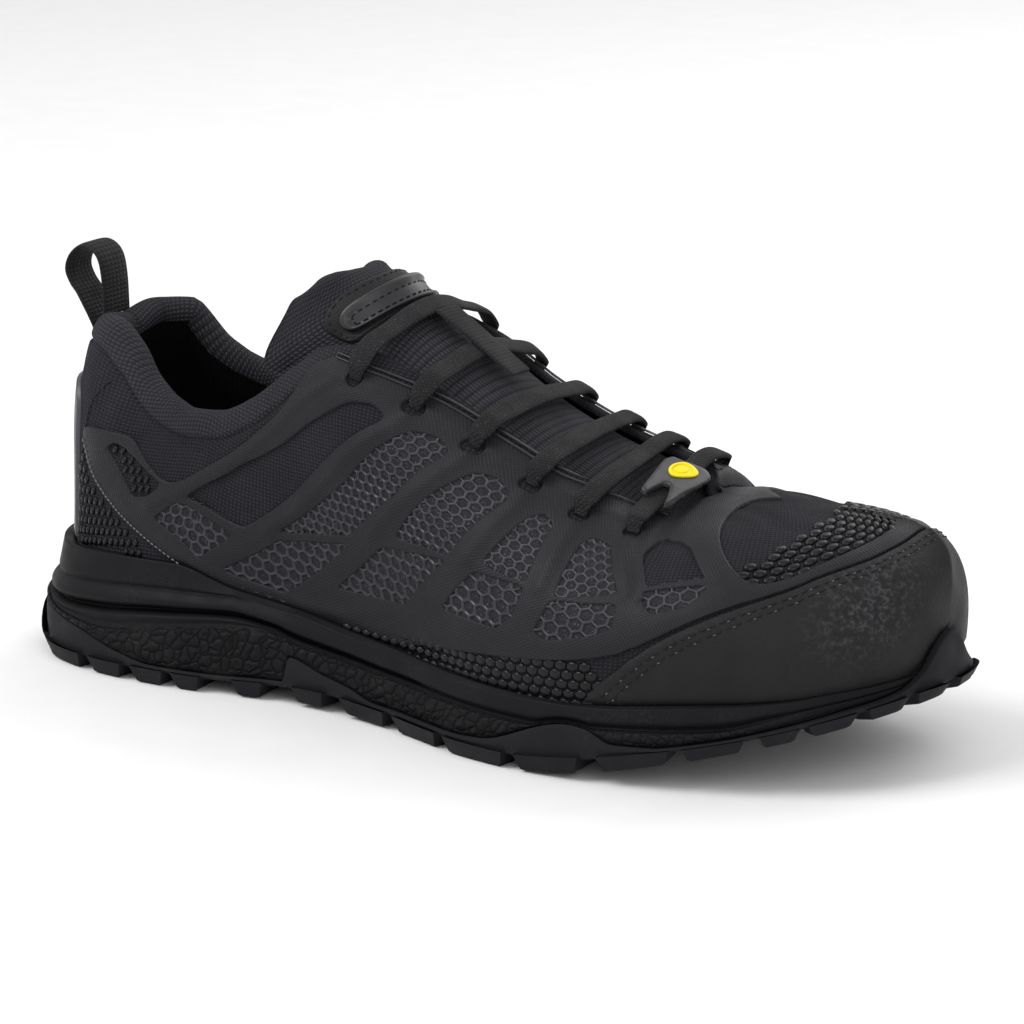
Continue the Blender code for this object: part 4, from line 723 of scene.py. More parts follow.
def edge_distance(points, loops, open_ends=True):
    """Distance of points from the nearest line of the loops, those on a join left out."""
    best = np.full(len(points), 1e3)
    for loop in loops:
        meets = joined(loop) if open_ends else np.zeros(len(loop), bool)
        for i, start in enumerate(loop):
            j = (i + 1) % len(loop)
            if meets[i] and meets[j]:
                continue
            best = np.minimum(best, segment_distance(points, start, loop[j]))
    return best


def cut_sheet(outline, holes=(), step=1.7, rings=(0.3, 0.8), open_ends=True):
    """Triangles of an outline less its holes, with each point's distance from the edge."""
    loops = [stepped(outline, 1.1, open_ends)] + [stepped(hole, 1.1, open_ends) for hole in holes]
    low, high = outline.min(0), outline.max(0)
    x, y = np.meshgrid(np.arange(low[0], high[0], step), np.arange(low[1], high[1], step * 0.87))
    x[::2] += step / 2
    free = [np.stack([x.ravel(), y.ravel()], -1)]
    far = [np.full(len(free[0]), rings[-1] + step * 0.5)]
    for loop in loops:
        along = np.roll(loop, -1, axis=0) - np.roll(loop, 1, axis=0)
        out = unit(np.stack([-along[:, 1], along[:, 0]], -1))
        for ring in rings:
            for sign in (-1, 1):
                free.append(loop + out * ring * sign)
                far.append(np.full(len(loop), ring * 0.8))
    free, far = np.concatenate(free), np.concatenate(far)
    kept = within(free, loops)
    free, far = free[kept], far[kept]
    free = free[edge_distance(free, loops, False) > far]
    points, edges = [], []
    for loop in loops:
        start = len(points)
        points += [Vector(point) for point in loop]
        edges += [(start + i, start + (i + 1) % len(loop)) for i in range(len(loop))]
    points += [Vector(point) for point in free]
    flat, _, faces, *_ = delaunay_2d_cdt(points, edges, [], 0, 1e-5)
    flat = np.array([tuple(point) for point in flat])
    middles = np.array([flat[list(face)].mean(axis=0) for face in faces])
    kept = within(middles, loops)
    faces = [tuple(face) for face, good in zip(faces, kept) if good]
    return flat, faces, edge_distance(flat, loops, open_ends)


def soft_edge(distance, top, width, low=-0.1):
    """Lift of a sheet with a rounded edge: low at the edge and full a width away."""
    t = np.clip(distance / width, 0, 1)
    return low + (top - low) * np.sqrt(1 - (1 - t) ** 2)


def both_sides(shape, flat, faces, lift):
    for place, flip in UPPER_SIDES:
        shape.add(place(flat, lift), faces, flat, flip=flip)


DOME = ((1.0, -0.15), (0.97, 0.35), (0.80, 0.80), (0.45, 0.97))


def studs(shape, places, centres, angles, size, sides=8, profile=DOME, base=0.0, spin=0.0):
    """Small raised marks over a surface: length, width and height in millimetres."""
    length, width, height = size
    turn = np.arange(sides) * 2 * np.pi / sides + spin
    rings = [(np.cos(turn) * scale * length / 2, np.sin(turn) * scale * width / 2,
              np.full(sides, rise * height)) for scale, rise in profile]
    template = np.concatenate([np.stack(ring, -1) for ring in rings] + [[[0, 0, height]]])
    count = len(template)
    angles = np.broadcast_to(angles, len(centres))[:, None]
    cos, sin = np.cos(angles), np.sin(angles)
    flat = np.stack([centres[:, :1] + cos * template[:, 0] - sin * template[:, 1],
                     centres[:, 1:] + sin * template[:, 0] + cos * template[:, 1]], -1)
    lift = np.broadcast_to(base + template[:, 2], flat.shape[:2]).ravel()
    one = []
    for ring in range(len(rings) - 1):
        for i in range(sides):
            j = (i + 1) % sides
            low, high = ring * sides, (ring + 1) * sides
            one.append((low + i, low + j, high + j, high + i))
    top = (len(rings) - 1) * sides
    one += [(top + i, top + (i + 1) % sides, count - 1) for i in range(sides)]
    faces = [tuple(i + k * count for i in face) for k in range(len(centres)) for face in one]
    for place, flip in places:
        shape.add(place(flat.reshape(-1, 2), lift), faces, flat.reshape(-1, 2), flip=flip)


UPPER_SIDES = ((on_upper(LATERAL), False), (on_upper(MEDIAL), True))


def lattice_places(loop, pitch, row_height, tilt, margin=0.0):
    """Places of a staggered pattern that lie inside a closed line, or a margin outside it."""
    centre, reach = loop.mean(0), np.ptp(loop, axis=0).max() + pitch
    i, j = np.meshgrid(np.arange(-reach // pitch, reach // pitch + 1),
                       np.arange(-reach // row_height, reach // row_height + 1))
    x, y = ((i + (j % 2) / 2) * pitch).ravel(), (j * row_height).ravel()
    cos, sin = np.cos(np.radians(tilt)), np.sin(np.radians(tilt))
    places = centre + np.stack([x * cos - y * sin, x * sin + y * cos], -1)
    away = edge_distance(places, [loop], False)
    found = inside(places, loop)
    return places[(found & (away > -margin)) | (away < margin)]


# Walls between the cells, how deep they are and how far their floors lie over the knit, mm
CELL_WALL, CELL_DEPTH, CELL_BASE = 0.42, 0.60, 0.16
# Distance between rows of cells over that between cells, and a wall's part of a corner
ROW_SHARE, WALL_SHARE = 0.8660254, 0.5774


def honeycomb(shape, places, loop, pitch, tilt):
    """Six-sided pits with shared ridges; kind 0 is the ridges and kind 1 the floors."""
    centres = lattice_places(loop, pitch, pitch * ROW_SHARE, tilt, pitch * 0.55)
    corner = pitch / 3 ** 0.5
    angles = np.radians(tilt + 30 + 60 * np.arange(6))
    ring = np.stack([np.cos(angles), np.sin(angles)], -1)
    narrow = (corner - CELL_WALL * WALL_SHARE) / corner
    levels = [(1.0, 0.0), (narrow, -0.06), (narrow * 0.93, -1.0), (0.52 * narrow, -0.62)]
    template = np.concatenate([ring * corner * scale for scale, _ in levels])
    rise = np.repeat([drop for _, drop in levels], 6) * CELL_DEPTH
    flat = centres[:, None, :] + template
    lift = np.broadcast_to(CELL_BASE + CELL_DEPTH + rise, flat.shape[:2]).ravel()
    one, kinds = [], []
    for level in range(3):
        for i in range(6):
            j = (i + 1) % 6
            one.append((level * 6 + i, level * 6 + j, level * 6 + 6 + j, level * 6 + 6 + i))
            kinds.append(1 if level == 2 else 0)
    one.append(tuple(range(18, 24)))
    kinds.append(1)
    faces = [tuple(i + k * 24 for i in face) for k in range(len(centres)) for face in one]
    for place, flip in places:
        shape.add(place(flat.reshape(-1, 2), lift), faces, flat.reshape(-1, 2),
                  kinds * len(centres), flip)


def along_line(line, spacing):
    """Places and directions at even spacing along an open line of plane points."""
    way = way_along(line)
    at = np.arange(spacing / 2, way[-1], spacing)
    places = np.stack([np.interp(at, way, line[:, axis]) for axis in (0, 1)], -1)
    ahead = np.stack([np.interp(at + 0.3, way, line[:, axis]) for axis in (0, 1)], -1)
    behind = np.stack([np.interp(at - 0.3, way, line[:, axis]) for axis in (0, 1)], -1)
    along = ahead - behind
    return places, np.arctan2(along[:, 1], along[:, 0])


def beside(line, distance):
    """An open line moved sideways, to its left when positive."""
    along = np.gradient(line, axis=0)
    return line + unit(np.stack([-along[:, 1], along[:, 0]], -1)) * distance


def curve(line, cut=6.0):
    """An open line of plane points with its corners rounded."""
    keep = np.zeros(len(line), bool)
    keep[[0, -1]] = True
    return rounded(line, cut, keep)


def stitches(shape, places, line, spacing, size, base):
    centres, angles = along_line(line, spacing)
    studs(shape, places, centres, angles, size, 6, base=base)


def linear(shade):
    """A screen colour from 0 to 255 a channel as the shader's own."""
    value = np.array(shade, float) / 255
    return tuple(np.where(value <= 0.04045, value / 12.92, ((value + 0.055) / 1.055) ** 2.4))


class Finish:
    """A procedural material, with patterns in millimetres of the cloth plane or of space."""

    def __init__(self, name, dark, light, rough=(0.6, 0.75), tones=(0.05, 4.0)):
        self.made = bpy.data.materials.new(name)
        self.made.use_nodes = True
        self.tree = self.made.node_tree
        self.shader = self.tree.nodes["Principled BSDF"]
        self.cloth = self.node("ShaderNodeUVMap").outputs[0]
        self.cloth.node.uv_map = "cloth"
        place = self.node("ShaderNodeTexCoord").outputs["Object"]
        self.space = self.join("ShaderNodeVectorMath", "SCALE", place, Scale=1000)
        self.height = None
        tone = self.noise(self.space, tones[0], tones[1])
        self.colour = self.mix(tone, linear(dark), linear(light))
        self.rough = self.between(self.noise(self.space, 0.11, 3), 0.35, 0.65, *rough)

    def node(self, kind):
        return self.tree.nodes.new(kind)

    def feed(self, socket, value):
        if isinstance(value, bpy.types.NodeSocket):
            self.tree.links.new(value, socket)
        elif isinstance(value, tuple) and len(value) == 3 and len(socket.default_value) == 4:
            socket.default_value = (*value, 1.0)
        else:
            socket.default_value = value

    def join(self, kind, operation, *values, **named):
        node = self.node(kind)
        node.operation = operation
        for socket, value in zip(node.inputs, values):
            self.feed(socket, value)
        for name, value in named.items():
            self.feed(node.inputs[name], value)
        return node.outputs[0]

    def math(self, operation, *values):
        return self.join("ShaderNodeMath", operation, *values)

    def noise(self, vector, scale, detail=2.0):
        node = self.node("ShaderNodeTexNoise")
        self.feed(node.inputs["Vector"], vector)
        node.inputs["Scale"].default_value = scale
        node.inputs["Detail"].default_value = detail
        return node.outputs[0]

    def cells(self, vector, size):
        """Distance from the edges of scattered cells, 0 on an edge."""
        node = self.node("ShaderNodeTexVoronoi")
        node.feature = "DISTANCE_TO_EDGE"
        self.feed(node.inputs["Vector"], vector)
        node.inputs["Scale"].default_value = 1 / size
        return node.outputs["Distance"]

    def between(self, value, low, high, to_low=0.0, to_high=1.0):
        node = self.node("ShaderNodeMapRange")
        for socket, given in zip(node.inputs, (value, low, high, to_low, to_high)):
            self.feed(socket, given)
        return node.outputs[0]

    def mix(self, share, first, second):
        node = self.node("ShaderNodeMix")
        node.data_type = "RGBA"
        for socket, given in zip((node.inputs[0], node.inputs[6], node.inputs[7]),
                                 (share, first, second)):
            self.feed(socket, given)
        return node.outputs[2]

    def stripes(self, degrees, period):
        """Waves from 0 to 1 across a direction of the cloth plane."""
        way = np.radians(degrees)
        rate = 2 * np.pi / period
        dot = self.node("ShaderNodeVectorMath")
        dot.operation = "DOT_PRODUCT"
        self.feed(dot.inputs[0], self.cloth)
        dot.inputs[1].default_value = (np.cos(way) * rate, np.sin(way) * rate, 0.0)
        wave = self.math("SINE", dot.outputs["Value"])
        return self.math("MULTIPLY_ADD", wave, 0.5, 0.5)

    def crossed(self, first, second, period, other=None):
        """Two sets of waves over each other, a weave."""
        return self.math("MULTIPLY", self.stripes(first, period),
                         self.stripes(second, other or period))

    def mark(self, name):
        node = self.node("ShaderNodeAttribute")
        node.attribute_name = name
        return node.outputs["Fac"]

    def skewed(self, degrees, stretch):
        """The cloth plane turned, and pressed together across that direction."""
        made = self.node("ShaderNodeCombineXYZ")
        for socket, way, scale in ((0, degrees, 1.0), (1, degrees + 90, stretch)):
            dot = self.node("ShaderNodeVectorMath")
            dot.operation = "DOT_PRODUCT"
            self.feed(dot.inputs[0], self.cloth)
            way = np.radians(way)
            dot.inputs[1].default_value = (np.cos(way) * scale, np.sin(way) * scale, 0.0)
            self.feed(made.inputs[socket], dot.outputs["Value"])
        return made.outputs[0]

    def near(self, x, y, start, end):
        """1 close to a place of the cloth plane, 0 further than its reach."""
        apart = self.node("ShaderNodeVectorMath")
        apart.operation = "DISTANCE"
        self.feed(apart.inputs[0], self.cloth)
        apart.inputs[1].default_value = (x, y, 0.0)
        return self.between(apart.outputs["Value"], start, end, 1.0, 0.0)

    def raise_by(self, value, millimetres):
        part = self.math("MULTIPLY", value, millimetres * MM)
        self.height = part if self.height is None else self.math("ADD", self.height, part)

    def tint(self, share, shade):
        self.colour = self.mix(share, self.colour, linear(shade))

    def roughen(self, share, value):
        node = self.node("ShaderNodeMix")
        node.data_type = "FLOAT"
        for socket, given in zip(node.inputs, (share, None, self.rough, value)):
            if given is not None:
                self.feed(socket, given)
        self.rough = node.outputs[0]

    def done(self, shine=0.20, **sockets):
        self.shader.inputs["Specular IOR Level"].default_value = shine
        self.feed(self.shader.inputs["Base Color"], self.colour)
        self.feed(self.shader.inputs["Roughness"], self.rough)
        if self.height is not None:
            bump = self.node("ShaderNodeBump")
            bump.inputs["Distance"].default_value = 1.0
            self.feed(bump.inputs["Height"], self.height)
            self.feed(self.shader.inputs["Normal"], bump.outputs[0])
        for name, value in sockets.items():
            self.feed(self.shader.inputs[name.replace("_", " ")], value)
        return self.made


def dusty(finish, amount=0.25, shade=(96, 95, 93)):
    """Pale dust in patches of scattered specks."""
    patches = finish.between(finish.noise(finish.space, 0.06, 5), 0.52, 0.72, 0.0, amount)
    specks = finish.between(finish.noise(finish.space, 1.6, 2), 0.5, 0.7)
    finish.tint(finish.math("MULTIPLY", patches, specks), shade)


def knit_finish(row):
    finish = Finish(row.name, row.dark, row.light, (0.85, 0.95))
    stitch = finish.crossed(0, 90, row.pitch, row.pitch * 0.85)
    finish.raise_by(stitch, row.depth)
    finish.raise_by(finish.noise(finish.space, 2.6, 3), row.depth * 0.8)
    # Painted shade: the hollows between the stitches are darkened.
    finish.tint(finish.between(stitch, 0.0, 0.30, 0.8, 0.0), [v * 0.35 for v in row.dark])
    return finish


# Finishes with one grain: colours, roughness, size of the grain's noise per mm with its
# detail and depth in mm, share of dust, and shine
Plain = namedtuple("Plain", "key name dark light rough grain detail depth dust shine")
PLAIN = [
    Plain("rubber", "rubber", (25, 25, 28), (31, 31, 34), (0.52, 0.68), 1.6, 4, 0.05, 0.15, 0.09),
    Plain("ridge", "honeycomb", (33, 33, 38), (53, 53, 59), (0.26, 0.38), 1.4, 3, 0.03, 0, 0.28),
    Plain("pillow", "pillows", (12, 12, 14), (19, 19, 22), (0.24, 0.36), 1.8, 3, 0.06, 0, 0.22),
    Plain("badge", "plastic", (27, 27, 30), (34, 34, 37), (0.34, 0.44), 0.8, 4, 0.04, 0, 0.40),
    Plain("yellow", "emblem", (222, 196, 20), (234, 210, 34), (0.42, 0.55), 1.5, 3, 0.04, 0, 0.20),
    Plain("thread", "thread", (13, 13, 14), (22, 22, 25), (0.55, 0.70), 3.0, 2, 0.08, 0, 0.20),
    # Pale thread, which also gives the painted highlights at the toe cap's stitch holes
    Plain("pale", "pale_thread_and_glints", (84, 84, 88), (112, 112, 116), (0.55, 0.70), 3.0, 2, 0.08, 0,
          0.20),
]

# Knits: colours, distance between stitches and depth in mm, and shine
Knit = namedtuple("Knit", "key name dark light pitch depth shine")
KNITS = [
    Knit("knit", "knit", (26, 26, 31), (48, 48, 56), 1.35, 0.42, 0.2),
    Knit("collar", "collar_knit", (38, 37, 42), (66, 65, 72), 1.45, 0.60, 0.2),
    Knit("lining", "lining", (6, 6, 7), (11, 11, 12), 1.2, 0.20, 0.1),
    Knit("insole", "insole_cloth", (8, 8, 9), (13, 13, 14), 1.6, 0.20, 0.1),
]


def finishes():
    made = {}
    for row in PLAIN:
        plain = Finish(row.name, row.dark, row.light, row.rough)
        plain.raise_by(plain.noise(plain.space, row.grain, row.detail), row.depth)
        if row.dust:
            dusty(plain, row.dust)
        made[row.key] = plain.done(row.shine)

    foam = Finish("foam", (19, 18, 20), (23, 23, 26), (0.46, 0.60))
    warp = foam.join("ShaderNodeVectorMath", "ADD", foam.skewed(-35, 0.80), foam.join(
        "ShaderNodeVectorMath", "SCALE", foam.noise(foam.space, 0.25, 1), Scale=2.5))
    for size, depth, share in ((3.2, 0.95, foam.math("SUBTRACT", 1.0, foam.mark("toe"))),
                               (2.1, 0.40, foam.mark("toe"))):
        share = foam.math("MULTIPLY", share, foam.mark("pebbled"))
        pebbles = foam.cells(warp, size)
        dome = foam.math("POWER", foam.between(pebbles, 0.0, 0.42), 0.6)
        foam.raise_by(foam.math("MULTIPLY", dome, share), depth)
        # Painted shade: the cracks between the pebbles are darkened.
        crack_shade = foam.math("MULTIPLY", foam.between(pebbles, 0.0, 0.14, 1.0, 0.0), share)
        foam.tint(foam.math("MULTIPLY", crack_shade, 0.85), (9, 9, 10))
    foam.raise_by(foam.noise(foam.space, 1.4, 4), 0.04)
    # Painted shade: the lines cut into the midsole's side are darkened to near black.
    foam.tint(foam.mark("groove"), (6, 6, 6))
    dusty(foam, 0.12)
    made["foam"] = foam.done(0.08)

    for row in KNITS:
        made[row.key] = knit_finish(row).done(row.shine)

    film = Finish("film", (29, 29, 33), (36, 35, 39), (0.42, 0.54), (0.03, 2.0))
    twill = film.crossed(28, 118, 0.80)
    film.raise_by(twill, 0.10)
    film.raise_by(film.noise(film.space, 1.5, 4), 0.06)
    # Painted shade: the hollows of the twill are darkened.
    film.tint(film.between(twill, 0.0, 0.4, 0.55, 0.0), (16, 16, 19))
    dusty(film, 0.06)
    made["film"] = film.done(0.15)

    pit = Finish("honeycomb_floor", (13, 13, 16), (34, 34, 40), (0.45, 0.60), (0.9, 3.0))
    speck = pit.noise(pit.space, 1.5, 4)
    pit.raise_by(speck, 0.45)
    # Painted highlight: pale flecks on the raised tops of the floor's specks.
    pit.tint(pit.between(speck, 0.60, 0.70), (70, 70, 78))
    made["pit"] = pit.done(0.18)

    leather = Finish("coated_leather", (24, 23, 25), (32, 31, 32), (0.46, 0.60))
    grain = leather.cells(leather.space, 0.85)
    leather.raise_by(leather.between(grain, 0.0, 0.25), 0.06)
    leather.raise_by(leather.noise(leather.space, 0.5, 5), 0.10)
    veins = leather.cells(leather.space, 1.7)
    worn = leather.math("MULTIPLY", leather.near(299, 27, 2, 22),
                        leather.between(leather.noise(leather.space, 0.55, 6), 0.42, 0.62))
    rubbed = leather.math("MULTIPLY", worn, leather.between(veins, 0.02, 0.16, 1.0, 0.25))
    leather.tint(leather.math("MULTIPLY", rubbed, 0.60), (88, 87, 90))
    leather.roughen(worn, 0.80)
    dusty(leather, 0.08)
    made["leather"] = leather.done(0.15)

    silver = Finish("reflective", (46, 48, 52), (62, 64, 69), (0.34, 0.46))
    weave = silver.stripes(45, 0.9)
    silver.raise_by(weave, 0.05)
    # Painted shade: the hollows of the weave are darkened.
    silver.tint(silver.between(weave, 0.0, 0.5, 0.30, 0.0), (38, 40, 43))
    dusty(silver, 0.12, (46, 46, 48))
    made["silver"] = silver.done(0.5)

    lace = Finish("webbing", (21, 21, 23), (35, 35, 38), (0.72, 0.88))
    weft = lace.crossed(62, 118, 0.95)
    lace.raise_by(weft, 0.34)
    lace.raise_by(lace.noise(lace.space, 2.2, 3), 0.22)
    # Painted shade: the hollows between the weft's threads are darkened.
    lace.tint(lace.between(weft, 0.0, 0.30, 0.8, 0.0), (7, 7, 8))
    lace.tint(lace.between(lace.noise(lace.space, 1.7, 3), 0.60, 0.72, 0.0, 0.5), (78, 78, 80))
    made["lace"] = lace.done(0.25)
    tape = Finish("tape", (21, 21, 23), (32, 32, 35), (0.72, 0.88))
    rows, wales = tape.stripes(90, 1.3), tape.stripes(0, 0.9)
    tape.raise_by(tape.math("MULTIPLY", rows, wales), 0.30)
    # Painted shade: the hollows between the rows are darkened.
    tape.tint(tape.between(rows, 0.0, 0.4, 0.8, 0.0), (8, 8, 9))
    made["tape"] = tape.done(0.25)
    return made


FINISH = finishes()


def ring_turns(count):
    return np.linspace(0, 2, int(count * SMOOTHNESS) // 2 * 2, endpoint=False)


def ring_piece(name, rings, turns, finish, slot, nodes, marks=None):
    """Rings round the shoe, each an inset and a height, joined into one wall."""
    shape = Shape()
    points = []
    for inset, height in rings:
        plan = sole_edge(turns, np.broadcast_to(inset, turns.shape))[0]
        points.append(np.concatenate(
            [plan, np.broadcast_to(height, turns.shape)[:, None]], -1))
    points = np.stack(points, 1)
    way = share_of(turns)[0] * CLOTH_WIDTH
    flat = np.stack([np.broadcast_to(way[:, None], points.shape[:2]), points[..., 2] / MM], -1)
    faces = grid_faces(len(turns), len(rings), closed=True)
    shape.add(points, faces, flat.reshape(-1, 2), flip=False)
    return shape.piece(name, finish, slot, nodes, marks=marks)


def midsole():
    """Side wall by levels: pebbled part, ledge, deep groove, and the smooth cup at the heel."""
    turns = ring_turns(960)
    levels = np.linspace(0, 4, 69)
    share = share_of(turns)[0]
    wrap = level_height(turns, 0.0)
    rings = [(WRAP_WALL + CLEARANCE, wrap)]
    pebbled, groove_shade = [np.zeros(len(turns))], [np.zeros(len(turns))]
    for level in levels:
        cut = groove_depth(turns, level)
        rings.append((profile_inset(turns, level) + cut * MM, level_height(turns, level)))
        pebbled.append(ramp(level, 0.02, 0.10) * (1 - ramp(level, 0.93, 1.0))
                       * (1 - ramp(share, 0.80, 0.84)))
        # Mask of the painted shade in the cut lines, by how deep they are
        groove_shade.append(np.clip(cut / 0.9, 0, 1) ** 1.5)
    rim = rim_height(turns)
    inset = profile_inset(turns, 4.0)
    inside_edge = upper_inset(turns) - CLEARANCE
    for part in (0.35, 0.7, 1.0):
        rings.append((inset + (inside_edge - inset) * part, rim - part * part * 0.0006))
    rings.append((inside_edge, rim - 0.003))
    rest = [np.zeros(len(turns))] * (len(rings) - len(pebbled))
    marks = {"pebbled": np.stack(pebbled + rest, 1).ravel(),
             "groove": np.stack(groove_shade + rest, 1).ravel(),
             "toe": np.repeat(ramp(share, 0.66, 0.72), len(rings))}
    ring_piece("midsole_wall", rings, turns, FINISH["foam"], "foam", ["midsole"], marks)


# Lines cut into the midsole's side: level, width in levels, depth in mm, and from where
# to where they run
Groove = namedtuple("Groove", "level width depth from_share to_share")
GROOVES = [Groove(2.00, 0.16, 1.5, -0.10, 0.52), Groove(2.00, 0.10, 0.6, 0.52, 0.84),
           Groove(3.02, 0.09, 0.8, -0.10, 0.33), Groove(1.02, 0.06, 0.5, -0.10, 0.84),
           Groove(1.95, 0.12, 0.5, 0.84, 1.10)]


def groove_depth(turns, level):
    """Depth in millimetres of the lines cut into the midsole's side."""
    share = share_of(turns)[0]
    depth = np.zeros(len(turns))
    for row in GROOVES:
        along = (ramp(share, row.from_share - 0.03, row.from_share)
                 * (1 - ramp(share, row.to_share - 0.03, row.to_share)))
        depth += row.depth * along * np.exp(-((level - row.level) / row.width) ** 2)
    return depth


def outsole():
    """Rubber edge and base, with bevelled lugs."""
    turns = ring_turns(720)
    wrap, bottom, top = wrap_height(turns), base_bottom(turns), base_top(turns)
    bevel = EDGE_BEVEL
    rings = [(0.020, bottom), (bevel * 2, bottom), (bevel * 0.8, bottom + bevel * 0.3),
             (0.0, bottom + bevel)]
    for part in np.linspace(0.1, 0.9, 9):
        low, high = bottom + bevel, wrap - bevel / 2
        swell = -0.00015 * np.sin(part * np.pi) ** 2
        rings.append((np.full(len(turns), swell), low + (high - low) * part))
    rings += [(0.0, wrap - bevel / 2), (bevel * 0.15, wrap - bevel * 0.15),
              (bevel / 2, wrap), (WRAP_WALL, wrap), (WRAP_WALL, top)]
    shape = Shape()
    points = [np.concatenate([sole_edge(turns, np.broadcast_to(inset, turns.shape))[0],
                              np.broadcast_to(height, turns.shape)[:, None]], -1)
              for inset, height in rings]
    points = np.stack(points, 1)
    flat = np.stack([np.broadcast_to((share_of(turns)[0] * CLOTH_WIDTH)[:, None],
                                     points.shape[:2]), points[..., 2] / MM], -1)
    shape.add(points, grid_faces(len(turns), len(rings), closed=True), flat.reshape(-1, 2))
    base_sheet(shape)
    for row in EDGE_LUGS:
        for side in (LATERAL, MEDIAL):
            edge_lug(shape, row, side)
    edge_lug(shape, HEEL_LUG, LATERAL)
    for row in MIDDLE_LUGS:
        middle_lug(shape, row)
    shape.piece("outsole_tread", FINISH["rubber"], "rubber", ["outsole"], sharp=35)


def base_sheet(shape):
    """Underside of the sole between the lugs, from side to side."""
    shares = np.linspace(0.004, 0.996, 90)
    across = np.linspace(0, 1, 25)
    outer = sole_edge(shares, np.full(90, 0.003))[0]
    inner = sole_edge(2 - shares, np.full(90, 0.003))[0]
    plan = outer[:, None] * (1 - across[:, None]) + inner[:, None] * across[:, None]
    points = sole_floor(plan.reshape(-1, 2), LUG_DEPTH)
    shape.add(points, grid_faces(90, 25), points[:, :2] / MM)


def sole_floor(plan, rise):
    """Plan points at a height over the tread, thinned towards the toe like the lugs."""
    along = (plan[:, 0] + HEEL_TO_ORIGIN) / LENGTH
    thin = 1 - TOE_THINNING * ramp(along, 0.70, 0.90)
    return np.concatenate([plan, (spring(plan[:, 0]) + rise * thin)[:, None]], -1)


def block(shape, loops, rises):
    """A lug from loops of plan points at rising heights, closed at the tread."""
    count = len(loops[0])
    points = np.concatenate([sole_floor(loop, rise) for loop, rise in zip(loops, rises)])
    faces = [tuple(range(count))]
    for level in range(len(loops) - 1):
        for i in range(count):
            j = (i + 1) % count
            low, high = level * count, (level + 1) * count
            faces.append((low + j, low + i, high + i, high + j))
    shape.add(points, faces, points[:, :2] / MM)


# Lugs by level: how far they draw in and how high that is over the tread
LUG_LEVELS = ((0.0007, 0.0), (0.0, 0.0006), (-0.0008, LUG_DEPTH + LUG_EMBED))


def edge_lug(shape, row, side):
    loops = []
    for shrink, rise in LUG_LEVELS:
        slope = LUG_DRAFT * (1 - rise / (LUG_DEPTH + LUG_EMBED))
        shares = np.linspace(row.start + slope + shrink * 3, row.end - slope - shrink * 3, 7)
        turns = shares if side == LATERAL else 2 - shares
        proud = LUG_PROUD * (rise / LUG_DEPTH) - shrink
        outer = sole_edge(turns, np.full(7, -proud))[0]
        inner = sole_edge(turns[::-1], np.full(7, row.reach * BALL_WIDTH - shrink))[0]
        loop = np.concatenate([outer, inner])
        loops.append(loop if side == LATERAL else loop[::-1])
    block(shape, loops, [rise for _, rise in LUG_LEVELS])


def middle_lug(shape, row):
    centre = np.array([row.along * LENGTH - HEEL_TO_ORIGIN, row.across * BALL_WIDTH])
    angles = np.radians(np.arange(0, 360, 60))
    ring = np.stack([np.cos(angles), np.sin(angles)], -1)
    block(shape, [centre + ring * (row.radius * LENGTH - shrink) for shrink, _ in LUG_LEVELS],
          [rise for _, rise in LUG_LEVELS])


# Soft creases of the textile: place, direction in degrees, and length, width and depth in mm
Crease = namedtuple("Crease", "share height angle length width depth")
CREASES = [
    Crease(0.170, 0.800, 25, 22, 3.0, 0.5), Crease(0.235, 0.820, -10, 26, 3.0, 0.5),
    Crease(0.300, 0.760, 55, 20, 2.5, 0.4), Crease(0.120, 0.780, 70, 16, 2.5, 0.5),
    Crease(0.060, 0.820, 80, 18, 3.0, 0.4), Crease(0.780, 0.880, -35, 22, 2.5, 0.4),
    Crease(0.830, 0.820, -50, 24, 3.0, 0.4),
]


def crease_lift(share, height):
    """Soft troughs with a low ridge beside them, in millimetres."""
    flat = to_cloth(np.stack([share.ravel(), height.ravel()], -1))
    lift = np.zeros(len(flat))
    for row in CREASES:
        centre = to_cloth([(row.share, row.height)])[0]
        way = np.radians(row.angle)
        along = (flat - centre) @ [np.cos(way), np.sin(way)]
        across = (flat - centre) @ [-np.sin(way), np.cos(way)]
        across += 0.004 * along ** 2
        fade = np.clip(1 - (along / row.length) ** 2, 0, 1) ** 2
        lift -= row.depth * fade * np.exp(-(across / row.width) ** 2)
        lift += row.depth * 0.5 * fade * np.exp(-((across - 1.8 * row.width) / row.width) ** 2)
    return lift.reshape(share.shape)


# Height up the upper at which the collar's binding starts
BINDING = 0.905


def upper_relief(share, height):
    """Relief of the textile in millimetres: collar binding, its seam and soft creases."""
    collar = 1 - ramp(share, 0.415, 0.44)
    seam = np.exp(-((height - BINDING) / 0.010) ** 2)
    swell = ramp(height, BINDING, BINDING + 0.04)
    return crease_lift(share, height) + collar * (0.5 * swell - 0.7 * seam)


def upper_turns():
    rear = np.linspace(0, THROAT_FRONT, int(170 * SMOOTHNESS))
    front = np.linspace(THROAT_FRONT, 1, int(60 * SMOOTHNESS))[1:]
    outer = np.concatenate([rear, front])
    return np.concatenate([outer, 2 - outer[-2:0:-1]]), len(rear)


